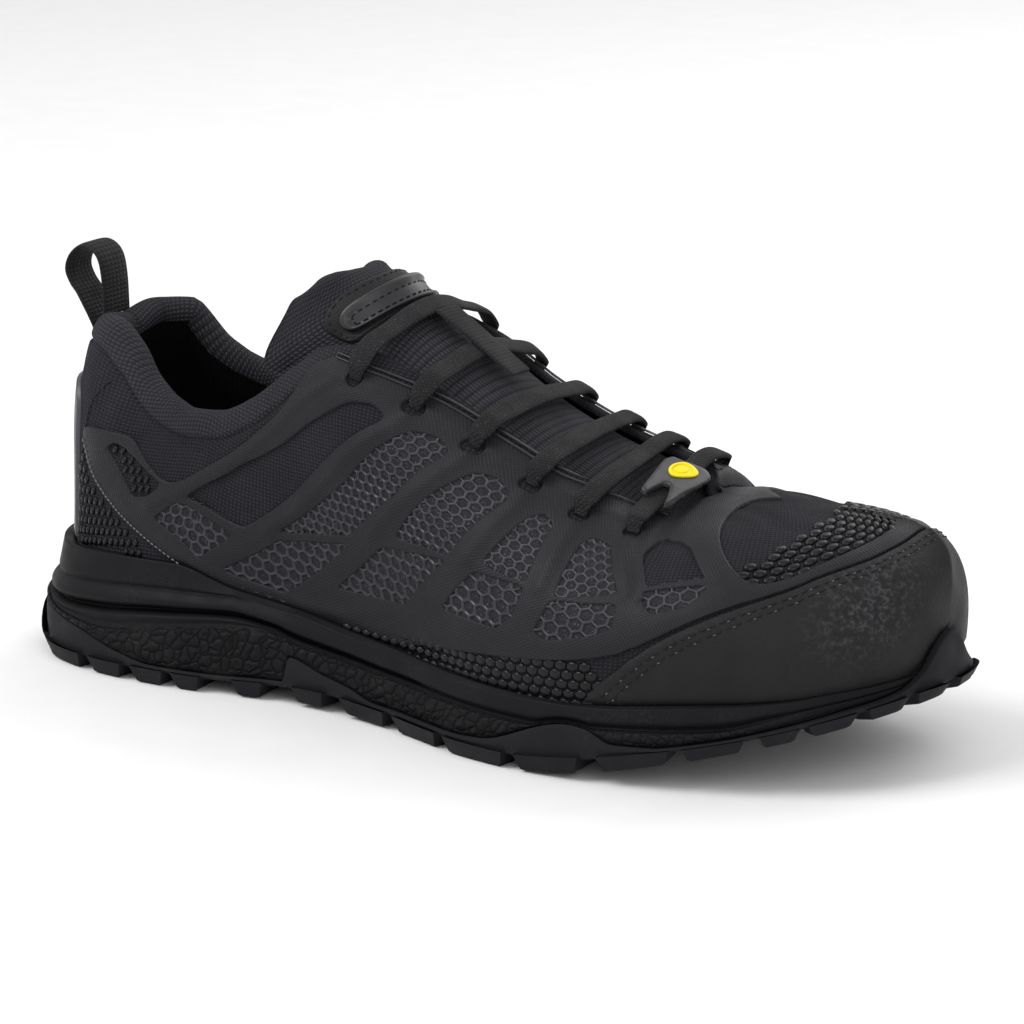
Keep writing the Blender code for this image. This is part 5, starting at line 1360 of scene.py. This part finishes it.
def upper():
    """Textile outside with its collar, and the lining inside."""
    turns, rear = upper_turns()
    heights = np.concatenate([np.linspace(0, 0.86, 44), np.linspace(0.87, 1, 18)])
    turn, height = np.meshgrid(turns, heights, indexing="ij")
    share = share_of(turn)[0]
    outer = upper_point(turn, height, upper_relief(share, height) * MM)
    flat = to_cloth(np.stack([share.ravel(), height.ravel()], -1))
    shape = Shape()
    on_collar = [1 if share_of(turns[i])[0] < 0.43 and heights[j] > BINDING else 0
                 for i in range(len(turns)) for j in range(len(heights) - 1)]
    shape.add(outer, grid_faces(len(turns), len(heights), closed=True), flat, on_collar)
    open_columns = [i for i in range(len(turns))
                    if share_of(turns[i])[0] <= THROAT_FRONT + WELD]
    loop = open_columns[rear:] + open_columns[:rear]
    inner_turn, inner_height = np.meshgrid(turns, np.linspace(0, 1, 28), indexing="ij")
    depth = wall_at(inner_turn, inner_height)
    inner = upper_point(inner_turn, inner_height, -depth)
    top_out, top_in = outer[loop, -1], inner[loop, -1]
    middle, across = (top_out + top_in) / 2, (top_out - top_in) / 2
    normal = surface_normal(turns[loop], np.ones(len(loop)))
    tangent = unit(np.roll(middle, -1, axis=0) - np.roll(middle, 1, axis=0))
    away = unit(np.cross(normal, tangent))
    bulge = away * np.linalg.norm(across, axis=-1, keepdims=True)
    angles = np.linspace(0, np.pi, 11)
    rim = np.stack([middle + across * np.cos(a) + bulge * np.sin(a) for a in angles], 1)
    way = share_of(turns[loop])[0] * CLOTH_WIDTH
    rim_flat = np.stack([np.broadcast_to(way[:, None], rim.shape[:2]),
                         rib_length(way)[:, None] + angles * 4], -1)
    kinds = [1 if way[i] < 0.43 * CLOTH_WIDTH else 0
             for i in range(len(loop)) for _ in range(10)]
    shape.add(rim, grid_faces(len(loop), 11, closed=True), rim_flat.reshape(-1, 2), kinds)
    shape.piece("upper_textile", [FINISH["knit"], FINISH["collar"]], "knit", ["upper"],
                weld=2e-6)
    lining = Shape()
    inner_flat = np.stack([share_of(inner_turn)[0].ravel() * CLOTH_WIDTH,
                           inner_height.ravel() * 70], -1)
    lining.add(inner, grid_faces(len(turns), 28, closed=True), inner_flat, flip=True)
    lining.piece("upper_lining", FINISH["lining"], "lining", weld=2e-6)


def film_outline():
    """The film's edge in the cloth plane, with soft corners."""
    seam = [(share, min(height + SEAM_GAP, 1.0)) for share, height in CAP_SEAM if share > 0.73]
    marks = FILM_REAR + seam + [(1.0, 1.0)] + VAMP_WINDOW + FILM_TOP
    return soft_loop(marks, 7.0)


def soft_loop(marks, cut):
    """An outline in the cloth plane, its foot on the rim and its free corners rounded."""
    flat = to_cloth(foot_on_rim(marks))
    keep = joined(flat)
    low = flat[:, 1] < np.interp(flat[:, 0] / CLOTH_WIDTH, FOOT_SHARES, FOOT_HEIGHTS) + 0.3
    return rounded(flat, cut, keep | low)


def foot_heights():
    """Height up the upper, in millimetres, at which it comes out of the midsole's rim."""
    shares = np.linspace(0, 1, 81)
    heights = np.linspace(0, 0.3, 61)
    turn, height = np.meshgrid(shares, heights, indexing="ij")
    line = upper_point(turn, height)[..., 2]
    edge = np.maximum(rim_height(shares), wrap_height(shares))
    found = [np.interp(edge[i] - 0.0008, line[i], heights) for i in range(len(shares))]
    return shares, np.array(found) * rib_length(shares * CLOTH_WIDTH)


FOOT_SHARES, FOOT_HEIGHTS = foot_heights()


def foot_on_rim(marks):
    """Marks at height 0 are put at the midsole's rim, with more between them."""
    made = []
    for (share, height), (after, up) in zip(marks, marks[1:] + marks[:1]):
        between = [share]
        if height == up == 0:
            between = np.arange(share, after, 0.02 if after > share else -0.02)
        for at in between:
            foot = np.interp(at, FOOT_SHARES, FOOT_HEIGHTS)
            low = foot / rib_length(at * CLOTH_WIDTH)
            made.append((float(at), max(height, float(low))))
    return made


def tucked(flat, lift):
    """Lift that dies away where a sheet meets the sole's rim."""
    foot = np.interp(flat[:, 0] / CLOTH_WIDTH, FOOT_SHARES, FOOT_HEIGHTS)
    return 0.1 + (lift - 0.1) * ramp(flat[:, 1] - foot, 0.2, 2.6)


FILM_RAISE, FILM_ROUND, FILM_CROWN = 0.85, 0.35, 0.25
CAP_RAISE, CAP_ROUND = 1.35, 1.1
STRIP_RAISE, STRIP_ROUND = 1.2, 0.6


def film():
    """The film with its windows and eyelets, its soft edge and the ribs pressed in it."""
    outline = film_outline()
    windows = [rounded(to_cloth(window), 1.4) for window in SCENE_WINDOWS]
    flat, faces, away = cut_sheet(outline, windows + eyelet_rings())
    crown = FILM_CROWN * ramp(away, 0.0, 4.0)
    lift = tucked(flat, soft_edge(away, FILM_RAISE, FILM_ROUND) + crown + film_ridges(flat))
    shape = Shape()
    both_sides(shape, flat, faces, lift)
    shape.piece("film_cage", FINISH["film"], "film", ["cage"], weld=1e-5)
    return windows


# The last window has a bar across it, over its lowest row of cells
TOP_PART = [(0.704, 0.690), (0.711, 0.724), (0.730, 0.650), (0.745, 0.610), (0.765, 0.485),
            (0.767, 0.475), (0.717, 0.458), (0.713, 0.520)]
LOW_PART = [(0.718, 0.428), (0.768, 0.442), (0.771, 0.430), (0.757, 0.362), (0.730, 0.336),
            (0.722, 0.370)]
SCENE_WINDOWS = WINDOWS[:-1] + [TOP_PART, LOW_PART]


def eyelet_rings():
    angles = np.linspace(0, 2 * np.pi, 14, endpoint=False)
    ring = np.stack([np.cos(angles), np.sin(angles)], -1) * EYELET_DIAMETER * 0.54 / MM
    return [to_cloth([row])[0] + ring for row in EYELETS]


# Ribs pressed up in the film: a line in shares and heights, with width and height in mm.
# The first follows the sole, the second links the eyelets, the rest run down the bars.
RibLine = namedtuple("RibLine", "width rise marks")
FILM_RIBS = [
    RibLine(1.0, 0.5, [(0.226, 0.235), (0.262, 0.090), (0.330, 0.060), (0.400, 0.085),
                        (0.462, 0.150)]),
    RibLine(0.8, 0.5, [(0.410, 0.900), (0.495, 0.915), (0.600, 0.895), (0.690, 0.880)]),
    RibLine(1.5, 0.7, [(0.495, 0.870), (0.490, 0.800), (0.420, 0.545), (0.330, 0.365)]),
    RibLine(1.6, 0.8, [(0.543, 0.860), (0.541, 0.800), (0.515, 0.620), (0.459, 0.380)]),
    RibLine(1.5, 0.8, [(0.590, 0.845), (0.590, 0.780), (0.563, 0.470)]),
    RibLine(1.4, 0.8, [(0.633, 0.825), (0.634, 0.760), (0.630, 0.470)]),
    RibLine(1.4, 0.8, [(0.682, 0.815), (0.688, 0.720), (0.704, 0.480)]),
    RibLine(1.4, 0.6, [(0.420, 0.870), (0.360, 0.820), (0.300, 0.760), (0.240, 0.560),
                        (0.200, 0.420)]),
]


def film_ridges(flat):
    lift = np.zeros(len(flat))
    for row in FILM_RIBS:
        line = curve(to_cloth(row.marks))
        best = np.full(len(flat), 1e3)
        for start, end in zip(line[:-1], line[1:]):
            best = np.minimum(best, segment_distance(flat, start, end))
        lift += row.rise * np.exp(-(best / row.width) ** 2)
    return lift


# Cells of each window: distance between them in mm and tilt in degrees
CELLS = {1: (3.8, -2), 3: (3.3, -2), 4: (4.0, -2), 5: (3.3, -2), 6: (4.1, -2), 7: (3.3, -2),
         8: (4.2, -2), 9: (3.4, -6), 10: (4.3, -10), 12: (4.4, 12)}


def textures(windows):
    """What shows in the windows and below the film: pits, pillows and small dashes."""
    cells, pillows = Shape(), Shape()
    for number, (pitch, tilt) in CELLS.items():
        honeycomb(cells, UPPER_SIDES, windows[number], pitch, tilt)
    dashes(pillows, windows[0])
    vamp = to_cloth(VAMP_WINDOW + [(0.985, 1.0)])
    places = lattice_places(vamp, 4.5, 3.3, 12)
    split = np.interp(places[:, 0], [258, 262, 271, 289, 330], [44, 48, 61.5, 72, 90]) - 1.2
    kept = (places[:, 1] < split) & (places[:, 1] < rib_length(places[:, 0]) - 1.5)
    places = places[kept]
    studs(pillows, UPPER_SIDES, places, np.radians(12),
          (4.2, 3.3, 1.0), 6, spin=np.pi / 6)
    rand = to_cloth([(0.386, 0.040), (0.446, 0.078), (0.550, 0.148), (0.632, 0.195),
                     (0.684, 0.205), (0.696, 0.100), (0.684, 0.010), (0.560, 0.010),
                     (0.450, 0.005), (0.400, 0.000)])
    places = lattice_places(rand, 3.6, 2.7, 3, margin=-0.8)
    ahead = places[:, 0] > 172
    for part, size in ((places[~ahead], (3.4, 2.6, 1.25)), (places[ahead], (3.9, 3.1, 0.80))):
        studs(pillows, UPPER_SIDES, part, np.radians(3), size, 6,
              spin=np.pi / 6)
    quarter = to_cloth([(0.094, 0.05), (0.215, 0.05), (0.200, 0.170), (0.152, 0.300),
                        (0.120, 0.375), (0.096, 0.490)])
    dashes(pillows, quarter)
    cells.piece("window_honeycomb", [FINISH["ridge"], FINISH["pit"]], "film", weld=1e-5)
    pillows.piece("raised_pattern", FINISH["pillow"], "film")


def dashes(shape, loop):
    places = lattice_places(loop, 2.7, 3.2, 6, margin=-1.0)
    studs(shape, UPPER_SIDES, places, np.radians(92), (2.7, 1.6, 0.9), 8)


def toe_cap():
    outline = soft_loop(CAP_SEAM + [(1.0, 0.0)], 10.0)
    flat, faces, away = cut_sheet(outline, step=2.0)
    lift = tucked(flat, soft_edge(away, CAP_RAISE, CAP_ROUND))
    lift += 0.25 * np.exp(-((away - 1.3) / 0.8) ** 2) * ramp(flat[:, 1], 4, 10)
    shape = Shape()
    both_sides(shape, flat, faces, lift)
    shape.piece("toe_cap_leather", FINISH["leather"], "coated_leather", ["toe_cap"], weld=1e-5)


def heel_strip():
    outline = soft_loop(HEEL_STRIP, 6.0)
    flat, faces, away = cut_sheet(outline, step=2.0)
    shape = Shape()
    both_sides(shape, flat, faces, tucked(flat, soft_edge(away, STRIP_RAISE, STRIP_ROUND)))
    shape.piece("heel_reflector", FINISH["silver"], "reflective", ["heel_strip"], weld=1e-5)


def cord(shape, places, line, width, rise, low=0.0):
    """A half-round cord along a line of the cloth plane."""
    across = np.array([-0.5, -0.42, 0.0, 0.42, 0.5]) * width
    lifts = np.array([-0.15, 0.72, 1.0, 0.72, -0.15]) * rise + low
    lines = np.stack([beside(line, distance) for distance in across], 1)
    flat = lines.reshape(-1, 2)
    lift = np.tile(lifts, len(line))
    for place, flip in places:
        shape.add(place(flat, lift), grid_faces(len(line), 5), flat, 0, flip)


def seams():
    """Stitching on the toe cap with painted highlights at its holes, the film's rear edge and the
    heel, and the throat's piping.
    """
    thread, pale, piping = Shape(), Shape(), Shape()
    cap = curve(to_cloth(CAP_SEAM[1:]))
    for apart in (-3.0, -5.4):
        stitches(thread, UPPER_SIDES, beside(cap, apart), 2.7, (1.7, 0.75, 0.30), 1.35)
        # Painted highlights: small pale marks at every other hole of the toe cap's stitching.
        stitches(pale, UPPER_SIDES, beside(cap, apart - 0.45), 5.4, (0.7, 0.35, 0.30), 1.42)
    edge = curve(to_cloth(FILM_REAR[:6]))
    stitches(pale, UPPER_SIDES, beside(edge, 1.0), 1.7, (1.2, 0.45, 0.25), 1.10)
    heel = curve(to_cloth([(0.098, 0.30), (0.102, 0.575), (0.104, 0.70), (0.118, 0.86)]))
    stitches(thread, UPPER_SIDES, heel, 2.2, (1.6, 0.6, 0.4), 0.1)
    for marks in ([(0.415, 0.978), (0.500, 0.982), (0.600, 0.982), (0.700, 0.978)],
                  [(0.415, 0.962), (0.500, 0.962), (0.600, 0.960), (0.700, 0.955)]):
        cord(piping, UPPER_SIDES, evenly(curve(to_cloth(marks)), 120), 0.6, 0.45, 1.15)
    thread.piece("stitching", FINISH["thread"], "webbing")
    pale.piece("pale_stitches_and_glints", FINISH["pale"], "webbing")
    piping.piece("throat_piping", FINISH["badge"], "film")



def bezier(a, b, c, d, t):
    t = np.asarray(t)[:, None]
    return a * (1 - t) ** 3 + b * 3 * t * (1 - t) ** 2 + c * 3 * t * t * (1 - t) + d * t ** 3


def under_upper(turn, height, deeper=0.0):
    depth = wall_at(np.asarray(turn), np.asarray(height)) + CLEARANCE + deeper
    return upper_point(turn, height, -depth)


def tongue_section(row):
    """Across the tongue under the throat: along the upper's inside, arched between."""
    sides = []
    for turn in (row.share, 2 - row.share):
        heights = np.linspace(row.wing, 1.0, 5)
        sides.append(under_upper(np.full(5, turn), heights, row.below))
    gap = np.linalg.norm(sides[0][-1] - sides[1][-1])
    if row.share >= THROAT_FRONT:
        return evenly(np.concatenate([sides[0], sides[1][-2::-1]]), TONGUE_COLUMNS)
    pulls = [unit(side[-1] - side[-2]) * gap * row.crown for side in sides]
    arch = bezier(sides[0][-1], sides[0][-1] + pulls[0], sides[1][-1] + pulls[1],
                  sides[1][-1], np.linspace(0, 1, 9))
    return evenly(np.concatenate([sides[0][:-1], arch, sides[1][-2::-1]]), TONGUE_COLUMNS)


def free_section(row):
    """Across the tongue above the throat: half an ellipse from edge to edge."""
    angles = np.linspace(-np.pi / 2, np.pi / 2, 25)
    front = np.array([row.front_along * LENGTH - HEEL_TO_ORIGIN, 0,
                      row.front_up * INSTEP_HEIGHT])
    edge = np.array([row.edge_along * LENGTH - HEEL_TO_ORIGIN, 0, row.edge_up * INSTEP_HEIGHT])
    ring = edge + (front - edge) * np.cos(angles)[:, None]
    ring[:, 1] = np.sin(angles) * row.half * BALL_WIDTH
    return evenly(ring, TONGUE_COLUMNS)


# The tongue's grid drawn out to this many steps between its rows and columns
FINE = 8
TONGUE_ROWS = TONGUE_BED + TONGUE_FREE
TONGUE_COARSE = np.stack([tongue_section(row) for row in TONGUE_BED]
                         + [free_section(row) for row in TONGUE_FREE])
TONGUE_POINTS = finer(finer(TONGUE_COARSE, (len(TONGUE_ROWS) - 1) * FINE + 1, 0),
                      (TONGUE_COLUMNS - 1) * FINE + 1, 1)
TONGUE_NORMALS = unit(np.cross(np.gradient(TONGUE_POINTS, axis=1),
                               np.gradient(TONGUE_POINTS, axis=0)))
TOP = TONGUE_COARSE[-3:]
ROW_PITCH = np.linalg.norm(np.diff(TOP, axis=0), axis=-1)[:, 4].mean() / MM
COLUMN_PITCH = np.linalg.norm(np.diff(TOP, axis=1), axis=-1).mean() / MM


def on_tongue(flat, lift):
    """Places of a plane in millimetres, columns across and rows up, on the tongue."""
    column, row = flat[:, 0] / COLUMN_PITCH * FINE, flat[:, 1] / ROW_PITCH * FINE
    out = unit(on_grid(TONGUE_NORMALS, row, column))
    return on_grid(TONGUE_POINTS, row, column) + out * np.broadcast_to(lift, row.shape)[:, None] * MM


def tongue():
    """Padded tongue: a face puffed out near its top, closed edges and a rounded top."""
    rows, columns = TONGUE_POINTS.shape[:2]
    side = np.abs(np.linspace(-1, 1, columns))
    thickness = np.interp(np.arange(rows) / FINE, range(len(TONGUE_ROWS)),
                          [row.thickness * INSTEP_HEIGHT for row in TONGUE_ROWS])
    row_at = np.arange(rows) / FINE
    puff = (0.8 * ramp(row_at, 7.2, 8.2))[:, None] * np.clip(1 - (side / 0.93) ** 8, 0, 1)
    outer = TONGUE_POINTS + TONGUE_NORMALS * (puff * MM)[..., None]
    taper = 1 - 0.45 * side ** 3
    inner = TONGUE_POINTS - TONGUE_NORMALS * (thickness[:, None] * taper)[..., None]
    middle, across = (outer[-1] + inner[-1]) / 2, (outer[-1] - inner[-1]) / 2
    normal = TONGUE_NORMALS[-1]
    away = outer[-1] - outer[-3]
    away = unit(away - normal * (away * normal).sum(-1, keepdims=True))
    bulge = away * np.linalg.norm(across, axis=-1, keepdims=True)
    cap = [middle + across * np.cos(a) + bulge * np.sin(a)
           for a in np.linspace(0, np.pi, 11)[1:-1]]
    whole = np.stack(list(outer) + cap + list(inner[::-1]))
    up = np.concatenate([np.arange(rows) * ROW_PITCH / FINE,
                         rows * ROW_PITCH / FINE + np.arange(9.0),
                         rows * ROW_PITCH / FINE + 9 + np.arange(rows) * ROW_PITCH / FINE])
    flat = np.stack(np.meshgrid(up, np.arange(columns) * COLUMN_PITCH / FINE, indexing="ij"), -1)
    shape = Shape()
    faces = grid_faces(len(whole), columns)
    edge = []
    for column in (0, columns - 1):
        for i in range(rows - 1):
            a, b = i * columns + column, (i + 1) * columns + column
            c, d = (len(whole) - 2 - i) * columns + column, (len(whole) - 1 - i) * columns + column
            edge.append((a, b, c, d) if column == 0 else (d, c, b, a))
        end = tuple((rows - 1 + i) * columns + column for i in range(11))
        edge.append(end if column == 0 else end[::-1])
    shape.add(whole, faces + edge, flat[..., ::-1].reshape(-1, 2), flip=True)
    made = shape.piece("tongue_pad", FINISH["collar"], "knit", ["tongue"])


def panel(name, place, outline, lows, top, finish, slot, nodes, cut=2.0, rim=0.0, pitch=None):
    """A plate with rounded corners and edges over a plane of rows and columns."""
    pitch = pitch or (COLUMN_PITCH, ROW_PITCH)
    flat = np.array([(column * pitch[0], row * pitch[1]) for row, column in outline])
    area = np.sum(flat[:, 0] * np.roll(flat[:, 1], -1) - np.roll(flat[:, 0], -1) * flat[:, 1])
    flat = flat if area > 0 else flat[::-1]
    loop = rounded(flat, cut)
    flat, faces, away = cut_sheet(loop, step=0.9, rings=(0.25, 0.6), open_ends=False)
    lift = soft_edge(away, top, 0.55, lows)
    if rim:
        lift -= rim * ramp(away, 1.7, 2.3)
    shape = Shape()
    shape.add(place(flat, lift), faces, flat)
    shape.piece(name, finish, slot, nodes)
    return loop


def shrunk(loop, distance):
    """A closed line moved in by a distance, round its middle."""
    along = np.roll(loop, -1, axis=0) - np.roll(loop, 1, axis=0)
    inward = unit(np.stack([-along[:, 1], along[:, 0]], -1))
    return loop + inward * distance


def tongue_plates():
    loop = panel("tongue_patch_leather", on_tongue, TONGUE_PATCH, 0.2, 2.0,
                 FINISH["leather"], "coated_leather", ["tongue_patch"], 3.0)
    thread = Shape()
    inner = stepped(shrunk(loop, 1.6), 0.5, False)
    stitches(thread, [(on_tongue, False)], inner, 2.3, (1.6, 0.55, 0.3), 1.95)
    loop = panel("tongue_badge_plain", on_tongue, TONGUE_BADGE, 1.6, 3.7, FINISH["badge"],
                 "plastic", ["tongue_badge"], 3.0, 1.1)
    inner = stepped(shrunk(loop, 2.9), 0.5, False)
    stitches(thread, [(on_tongue, False)], inner, 1.9, (1.3, 0.5, 0.3), 2.6)
    thread.piece("tongue_stitching", FINISH["thread"], "webbing")


def lace_line(share, height):
    """Line over the shoe from one eyelet to the other: film, throat's edge and tongue."""
    lines = []
    film_top = OVERLAY_LIFT + FILM_THICKNESS + CLEARANCE
    for turn in (share, 2 - share):
        heights = np.array([height, (height + 1) / 2, 0.985])
        lines.append(upper_point(np.full(3, turn), heights, film_top))
    bed = np.interp(share, [row.share for row in TONGUE_BED[::-1]],
                    np.arange(len(TONGUE_BED))[::-1])
    columns = np.linspace(0, (TONGUE_COLUMNS - 1) * FINE, 33)
    crown = on_grid(TONGUE_POINTS, np.full(33, bed * FINE), columns)
    crown = crown + on_grid(TONGUE_NORMALS, np.full(33, bed * FINE), columns) * 2 * OVERLAY_LIFT
    near, far = lines[0][-1], lines[1][-1]
    between = (crown[:, 1] > near[1] + 0.003) & (crown[:, 1] < far[1] - 0.003)
    return taut(np.concatenate([lines[0], crown[between], lines[1][::-1]]))


def taut(line):
    """The line pulled tight over what it passes, seen from the toe."""
    kept = [line[0]]
    for point in line[1:]:
        while len(kept) > 1:
            a, b = kept[-2], kept[-1]
            if (b[2] - a[2]) * (point[1] - a[1]) <= (point[2] - a[2]) * (b[1] - a[1]):
                kept.pop()
            else:
                break
        kept.append(point)
    return evenly(np.array(kept), LACE_STEPS)


def lace_frame(share, height):
    """The line of a lace bar with its sideways and outward directions."""
    middle = lace_line(share, height)
    tangent = unit(np.gradient(middle, axis=0))
    along = lace_line(share - 0.01, height) - lace_line(share + 0.01, height)
    sideways = unit(along - tangent * (along * tangent).sum(-1, keepdims=True))
    normals = unit(np.cross(tangent, sideways))
    return middle, sideways, normals * np.sign(normals[:, 2:])


def woven_band(shape, middle, sideways, normals, widths, low, thickness):
    """A flat woven band along a line, thick in the middle and rounded at its edges."""
    angles = np.linspace(0, 2 * np.pi, 20, endpoint=False)
    across = np.sign(np.cos(angles)) * np.abs(np.cos(angles)) ** 0.55
    rise = np.sign(np.sin(angles)) * np.abs(np.sin(angles)) ** 0.75
    points = (middle[:, None] + sideways[:, None] * (widths[:, None] * across / 2)[..., None]
              + normals[:, None] * (low[:, None] + thickness * (rise + 1) / 2)[..., None])
    way = way_along(middle) / MM
    flat = np.stack([np.broadcast_to(across * 3.2, points.shape[:2]),
                     np.broadcast_to(way[:, None], points.shape[:2])], -1)
    faces = []
    for i in range(len(middle) - 1):
        for j in range(20):
            k = (j + 1) % 20
            faces.append((i * 20 + j, i * 20 + k, (i + 1) * 20 + k, (i + 1) * 20 + j))
    last = (len(middle) - 1) * 20
    faces += [tuple(range(19, -1, -1)), tuple(last + j for j in range(20))]
    shape.add(points, faces, flat.reshape(-1, 2))


def laces():
    """Six straight bars of flat lace that dip into their eyelets at both ends."""
    for number, row in enumerate(EYELETS, 1):
        middle, sideways, normals = lace_frame(row.share, row.height)
        count = 90
        fine = [unit(finer(part, count, 0)) for part in (sideways, normals)]
        line = finer(middle, count, 0)
        way = way_along(line)
        end = np.minimum(way, way[-1] - way) / MM
        low = OVERLAY_LIFT - 0.0036 * (1 - ramp(end, 0.2, 3.4)) ** 1.5
        widths = 0.0036 + (LACE_WIDTH - 0.0036) * ramp(end, 0.0, 4.5)
        shape = Shape()
        woven_band(shape, line, *fine, widths, low, LACE_THICKNESS)
        shape.piece(f"lace_{number}", FINISH["lace"], "webbing", [f"lace_bar_{number}"], sharp=60)


def lace_plane(shares, height):
    """A grid over the laces: one row for each share."""
    frames = [lace_frame(share, height) for share in shares]
    points, normals = np.stack([f[0] for f in frames]), np.stack([f[2] for f in frames])
    rows, columns = (len(shares) - 1) * FINE + 1, (LACE_STEPS - 1) * FINE + 1
    points = finer(finer(points, rows, 0), columns, 1)
    normals = unit(finer(finer(normals, rows, 0), columns, 1))
    pitch = (np.linalg.norm(np.diff(points, axis=1), axis=-1).mean() * FINE / MM,
             np.linalg.norm(np.diff(points, axis=0), axis=-1).mean() * FINE / MM)

    def place(flat, lift):
        column, row = flat[:, 0] / pitch[0] * FINE, flat[:, 1] / pitch[1] * FINE
        out = unit(on_grid(normals, row, column))
        return on_grid(points, row, column) + out * np.broadcast_to(lift, row.shape)[:, None] * MM
    return place, pitch


def lace_tag():
    """Plastic tag round the front lace, with a plain yellow ring and disc."""
    place, pitch = lace_plane(np.linspace(*TAG_SHARES, PLATE_ROWS), EYELETS[-1].height)
    low = (OVERLAY_LIFT + LACE_THICKNESS + TAG_GAP) / MM
    panel("lace_tag_plate", place, LACE_TAG, low, low + 1.4, FINISH["badge"], "plastic",
          ["lace_tag"], 1.0, 0.0, pitch)
    centre = np.array([[TAG_CENTRE[1] * pitch[0], TAG_CENTRE[0] * pitch[1]]])
    shape = Shape()
    flat_disc = ((1.0, 0.0), (1.0, 0.75), (0.93, 1.0), (0.76, 1.0), (0.72, 0.35))
    size = 2 * EMBLEM_RADIUS / MM
    studs(shape, [(place, False)], centre, 0.0, (size, size, 0.7), 40,
          profile=flat_disc, base=low + 1.3)
    studs(shape, [(place, False)], centre, 0.0, (size * 0.5, size * 0.5, 0.7), 24,
          profile=((1.0, 0.0), (1.0, 0.8), (0.85, 1.0)), base=low + 1.3)
    shape.piece("tag_yellow_ring", FINISH["yellow"], "emblem", ["tag_emblem"], sharp=40)


def lace_keeper():
    """Webbing strap over the second lace, on the middle of the tongue."""
    place, pitch = lace_plane(np.linspace(*KEEPER_SHARES, PLATE_ROWS), EYELETS[1].height)
    low = (OVERLAY_LIFT + LACE_THICKNESS + CLEARANCE) / MM
    panel("lace_keeper_webbing", place, LACE_KEEPER, low, low + 0.8, FINISH["tape"], "webbing",
          ["lace_keeper"], 0.8, 0.0, pitch)


def pull_loop():
    """Webbing loop at the heel with a rounded fold."""
    foot = upper_point(np.zeros(2), np.array([0.86, 0.93]), OVERLAY_LIFT)
    side = [(row.along * LENGTH - HEEL_TO_ORIGIN, 0.0, row.up * INSTEP_HEIGHT)
            for row in PULL_LOOP]
    line = np.concatenate([foot, side])
    line[:, 1] = 0
    line = evenly(finer(line, 150, 0), 110)
    tangent = unit(np.gradient(line, axis=0))
    normals = np.stack([-tangent[:, 2], tangent[:, 1], tangent[:, 0]], -1)
    sideways = np.broadcast_to([0.0, 1.0, 0.0], line.shape)
    shape = Shape()
    woven_band(shape, line, sideways, normals, np.full(110, LOOP_WIDTH), np.zeros(110),
               LOOP_THICKNESS)
    shape.piece("heel_pull_loop", FINISH["tape"], "webbing", ["pull_loop"], sharp=60)


# Soft lamps: place and size in metres, power in watts
Lamp = namedtuple("Lamp", "name place size power")
LAMPS = [Lamp("key", (-0.55, -0.75, 1.25), 0.9, 16.0), Lamp("fill", (1.1, -0.9, 0.75), 1.1, 6.0),
         Lamp("rim", (0.3, 1.2, 1.0), 1.2, 9.0)]


def stage():
    """Plain pale floor and soft studio light."""
    scene = bpy.context.scene
    scene.view_settings.view_transform = "Standard"
    mesh = bpy.data.meshes.new("floor")
    mesh.from_pydata([(-6, -6, 0), (6, -6, 0), (6, 6, 0), (-6, 6, 0)], [], [(0, 1, 2, 3)])
    floor = bpy.data.objects.new("floor", mesh)
    scene.collection.objects.link(floor)
    paper = Finish("floor_paper", (226, 226, 226), (232, 232, 232), (0.85, 0.95))
    mesh.materials.append(paper.done())
    world = bpy.data.worlds.new("studio")
    world.use_nodes = True
    sky = world.node_tree.nodes["Background"]
    sky.inputs["Color"].default_value = (1.0, 1.0, 1.0, 1.0)
    sky.inputs["Strength"].default_value = 0.75
    scene.world = world
    for row in LAMPS:
        lamp = bpy.data.lights.new(row.name, "AREA")
        lamp.size, lamp.energy = row.size, row.power
        made = bpy.data.objects.new(row.name, lamp)
        made.location = row.place
        aim = Vector((0.1, 0.0, 0.05)) - Vector(row.place)
        made.rotation_euler = aim.to_track_quat("-Z", "Y").to_euler()
        scene.collection.objects.link(made)


AZIMUTH, ELEVATION, DISTANCE, FOCAL = 32.0, 14.0, 1.6, 5500 / 1024 * 36
TARGET = Vector((0.1145, 0.0, 0.0572))


def camera():
    turn, up = np.radians(AZIMUTH), np.radians(ELEVATION)
    away = Vector((np.sin(turn) * np.cos(up), -np.cos(turn) * np.cos(up), np.sin(up)))
    lens = bpy.data.cameras.new("camera")
    lens.lens, lens.sensor_width = FOCAL, 36
    lens.clip_start, lens.clip_end = 0.1, 20
    made = bpy.data.objects.new("camera", lens)
    made.location = TARGET + away * DISTANCE
    made.rotation_euler = (-away).to_track_quat("-Z", "Y").to_euler()
    bpy.context.scene.collection.objects.link(made)
    bpy.context.scene.camera = made


def main():
    midsole()
    outsole()
    upper()
    windows = film()
    textures(windows)
    toe_cap()
    heel_strip()
    seams()
    tongue()
    tongue_plates()
    laces()
    lace_keeper()
    lace_tag()
    pull_loop()
    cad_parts["insole"].data.materials.clear()
    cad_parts["insole"].data.materials.append(FINISH["insole"])
    stage()
    camera()


main()
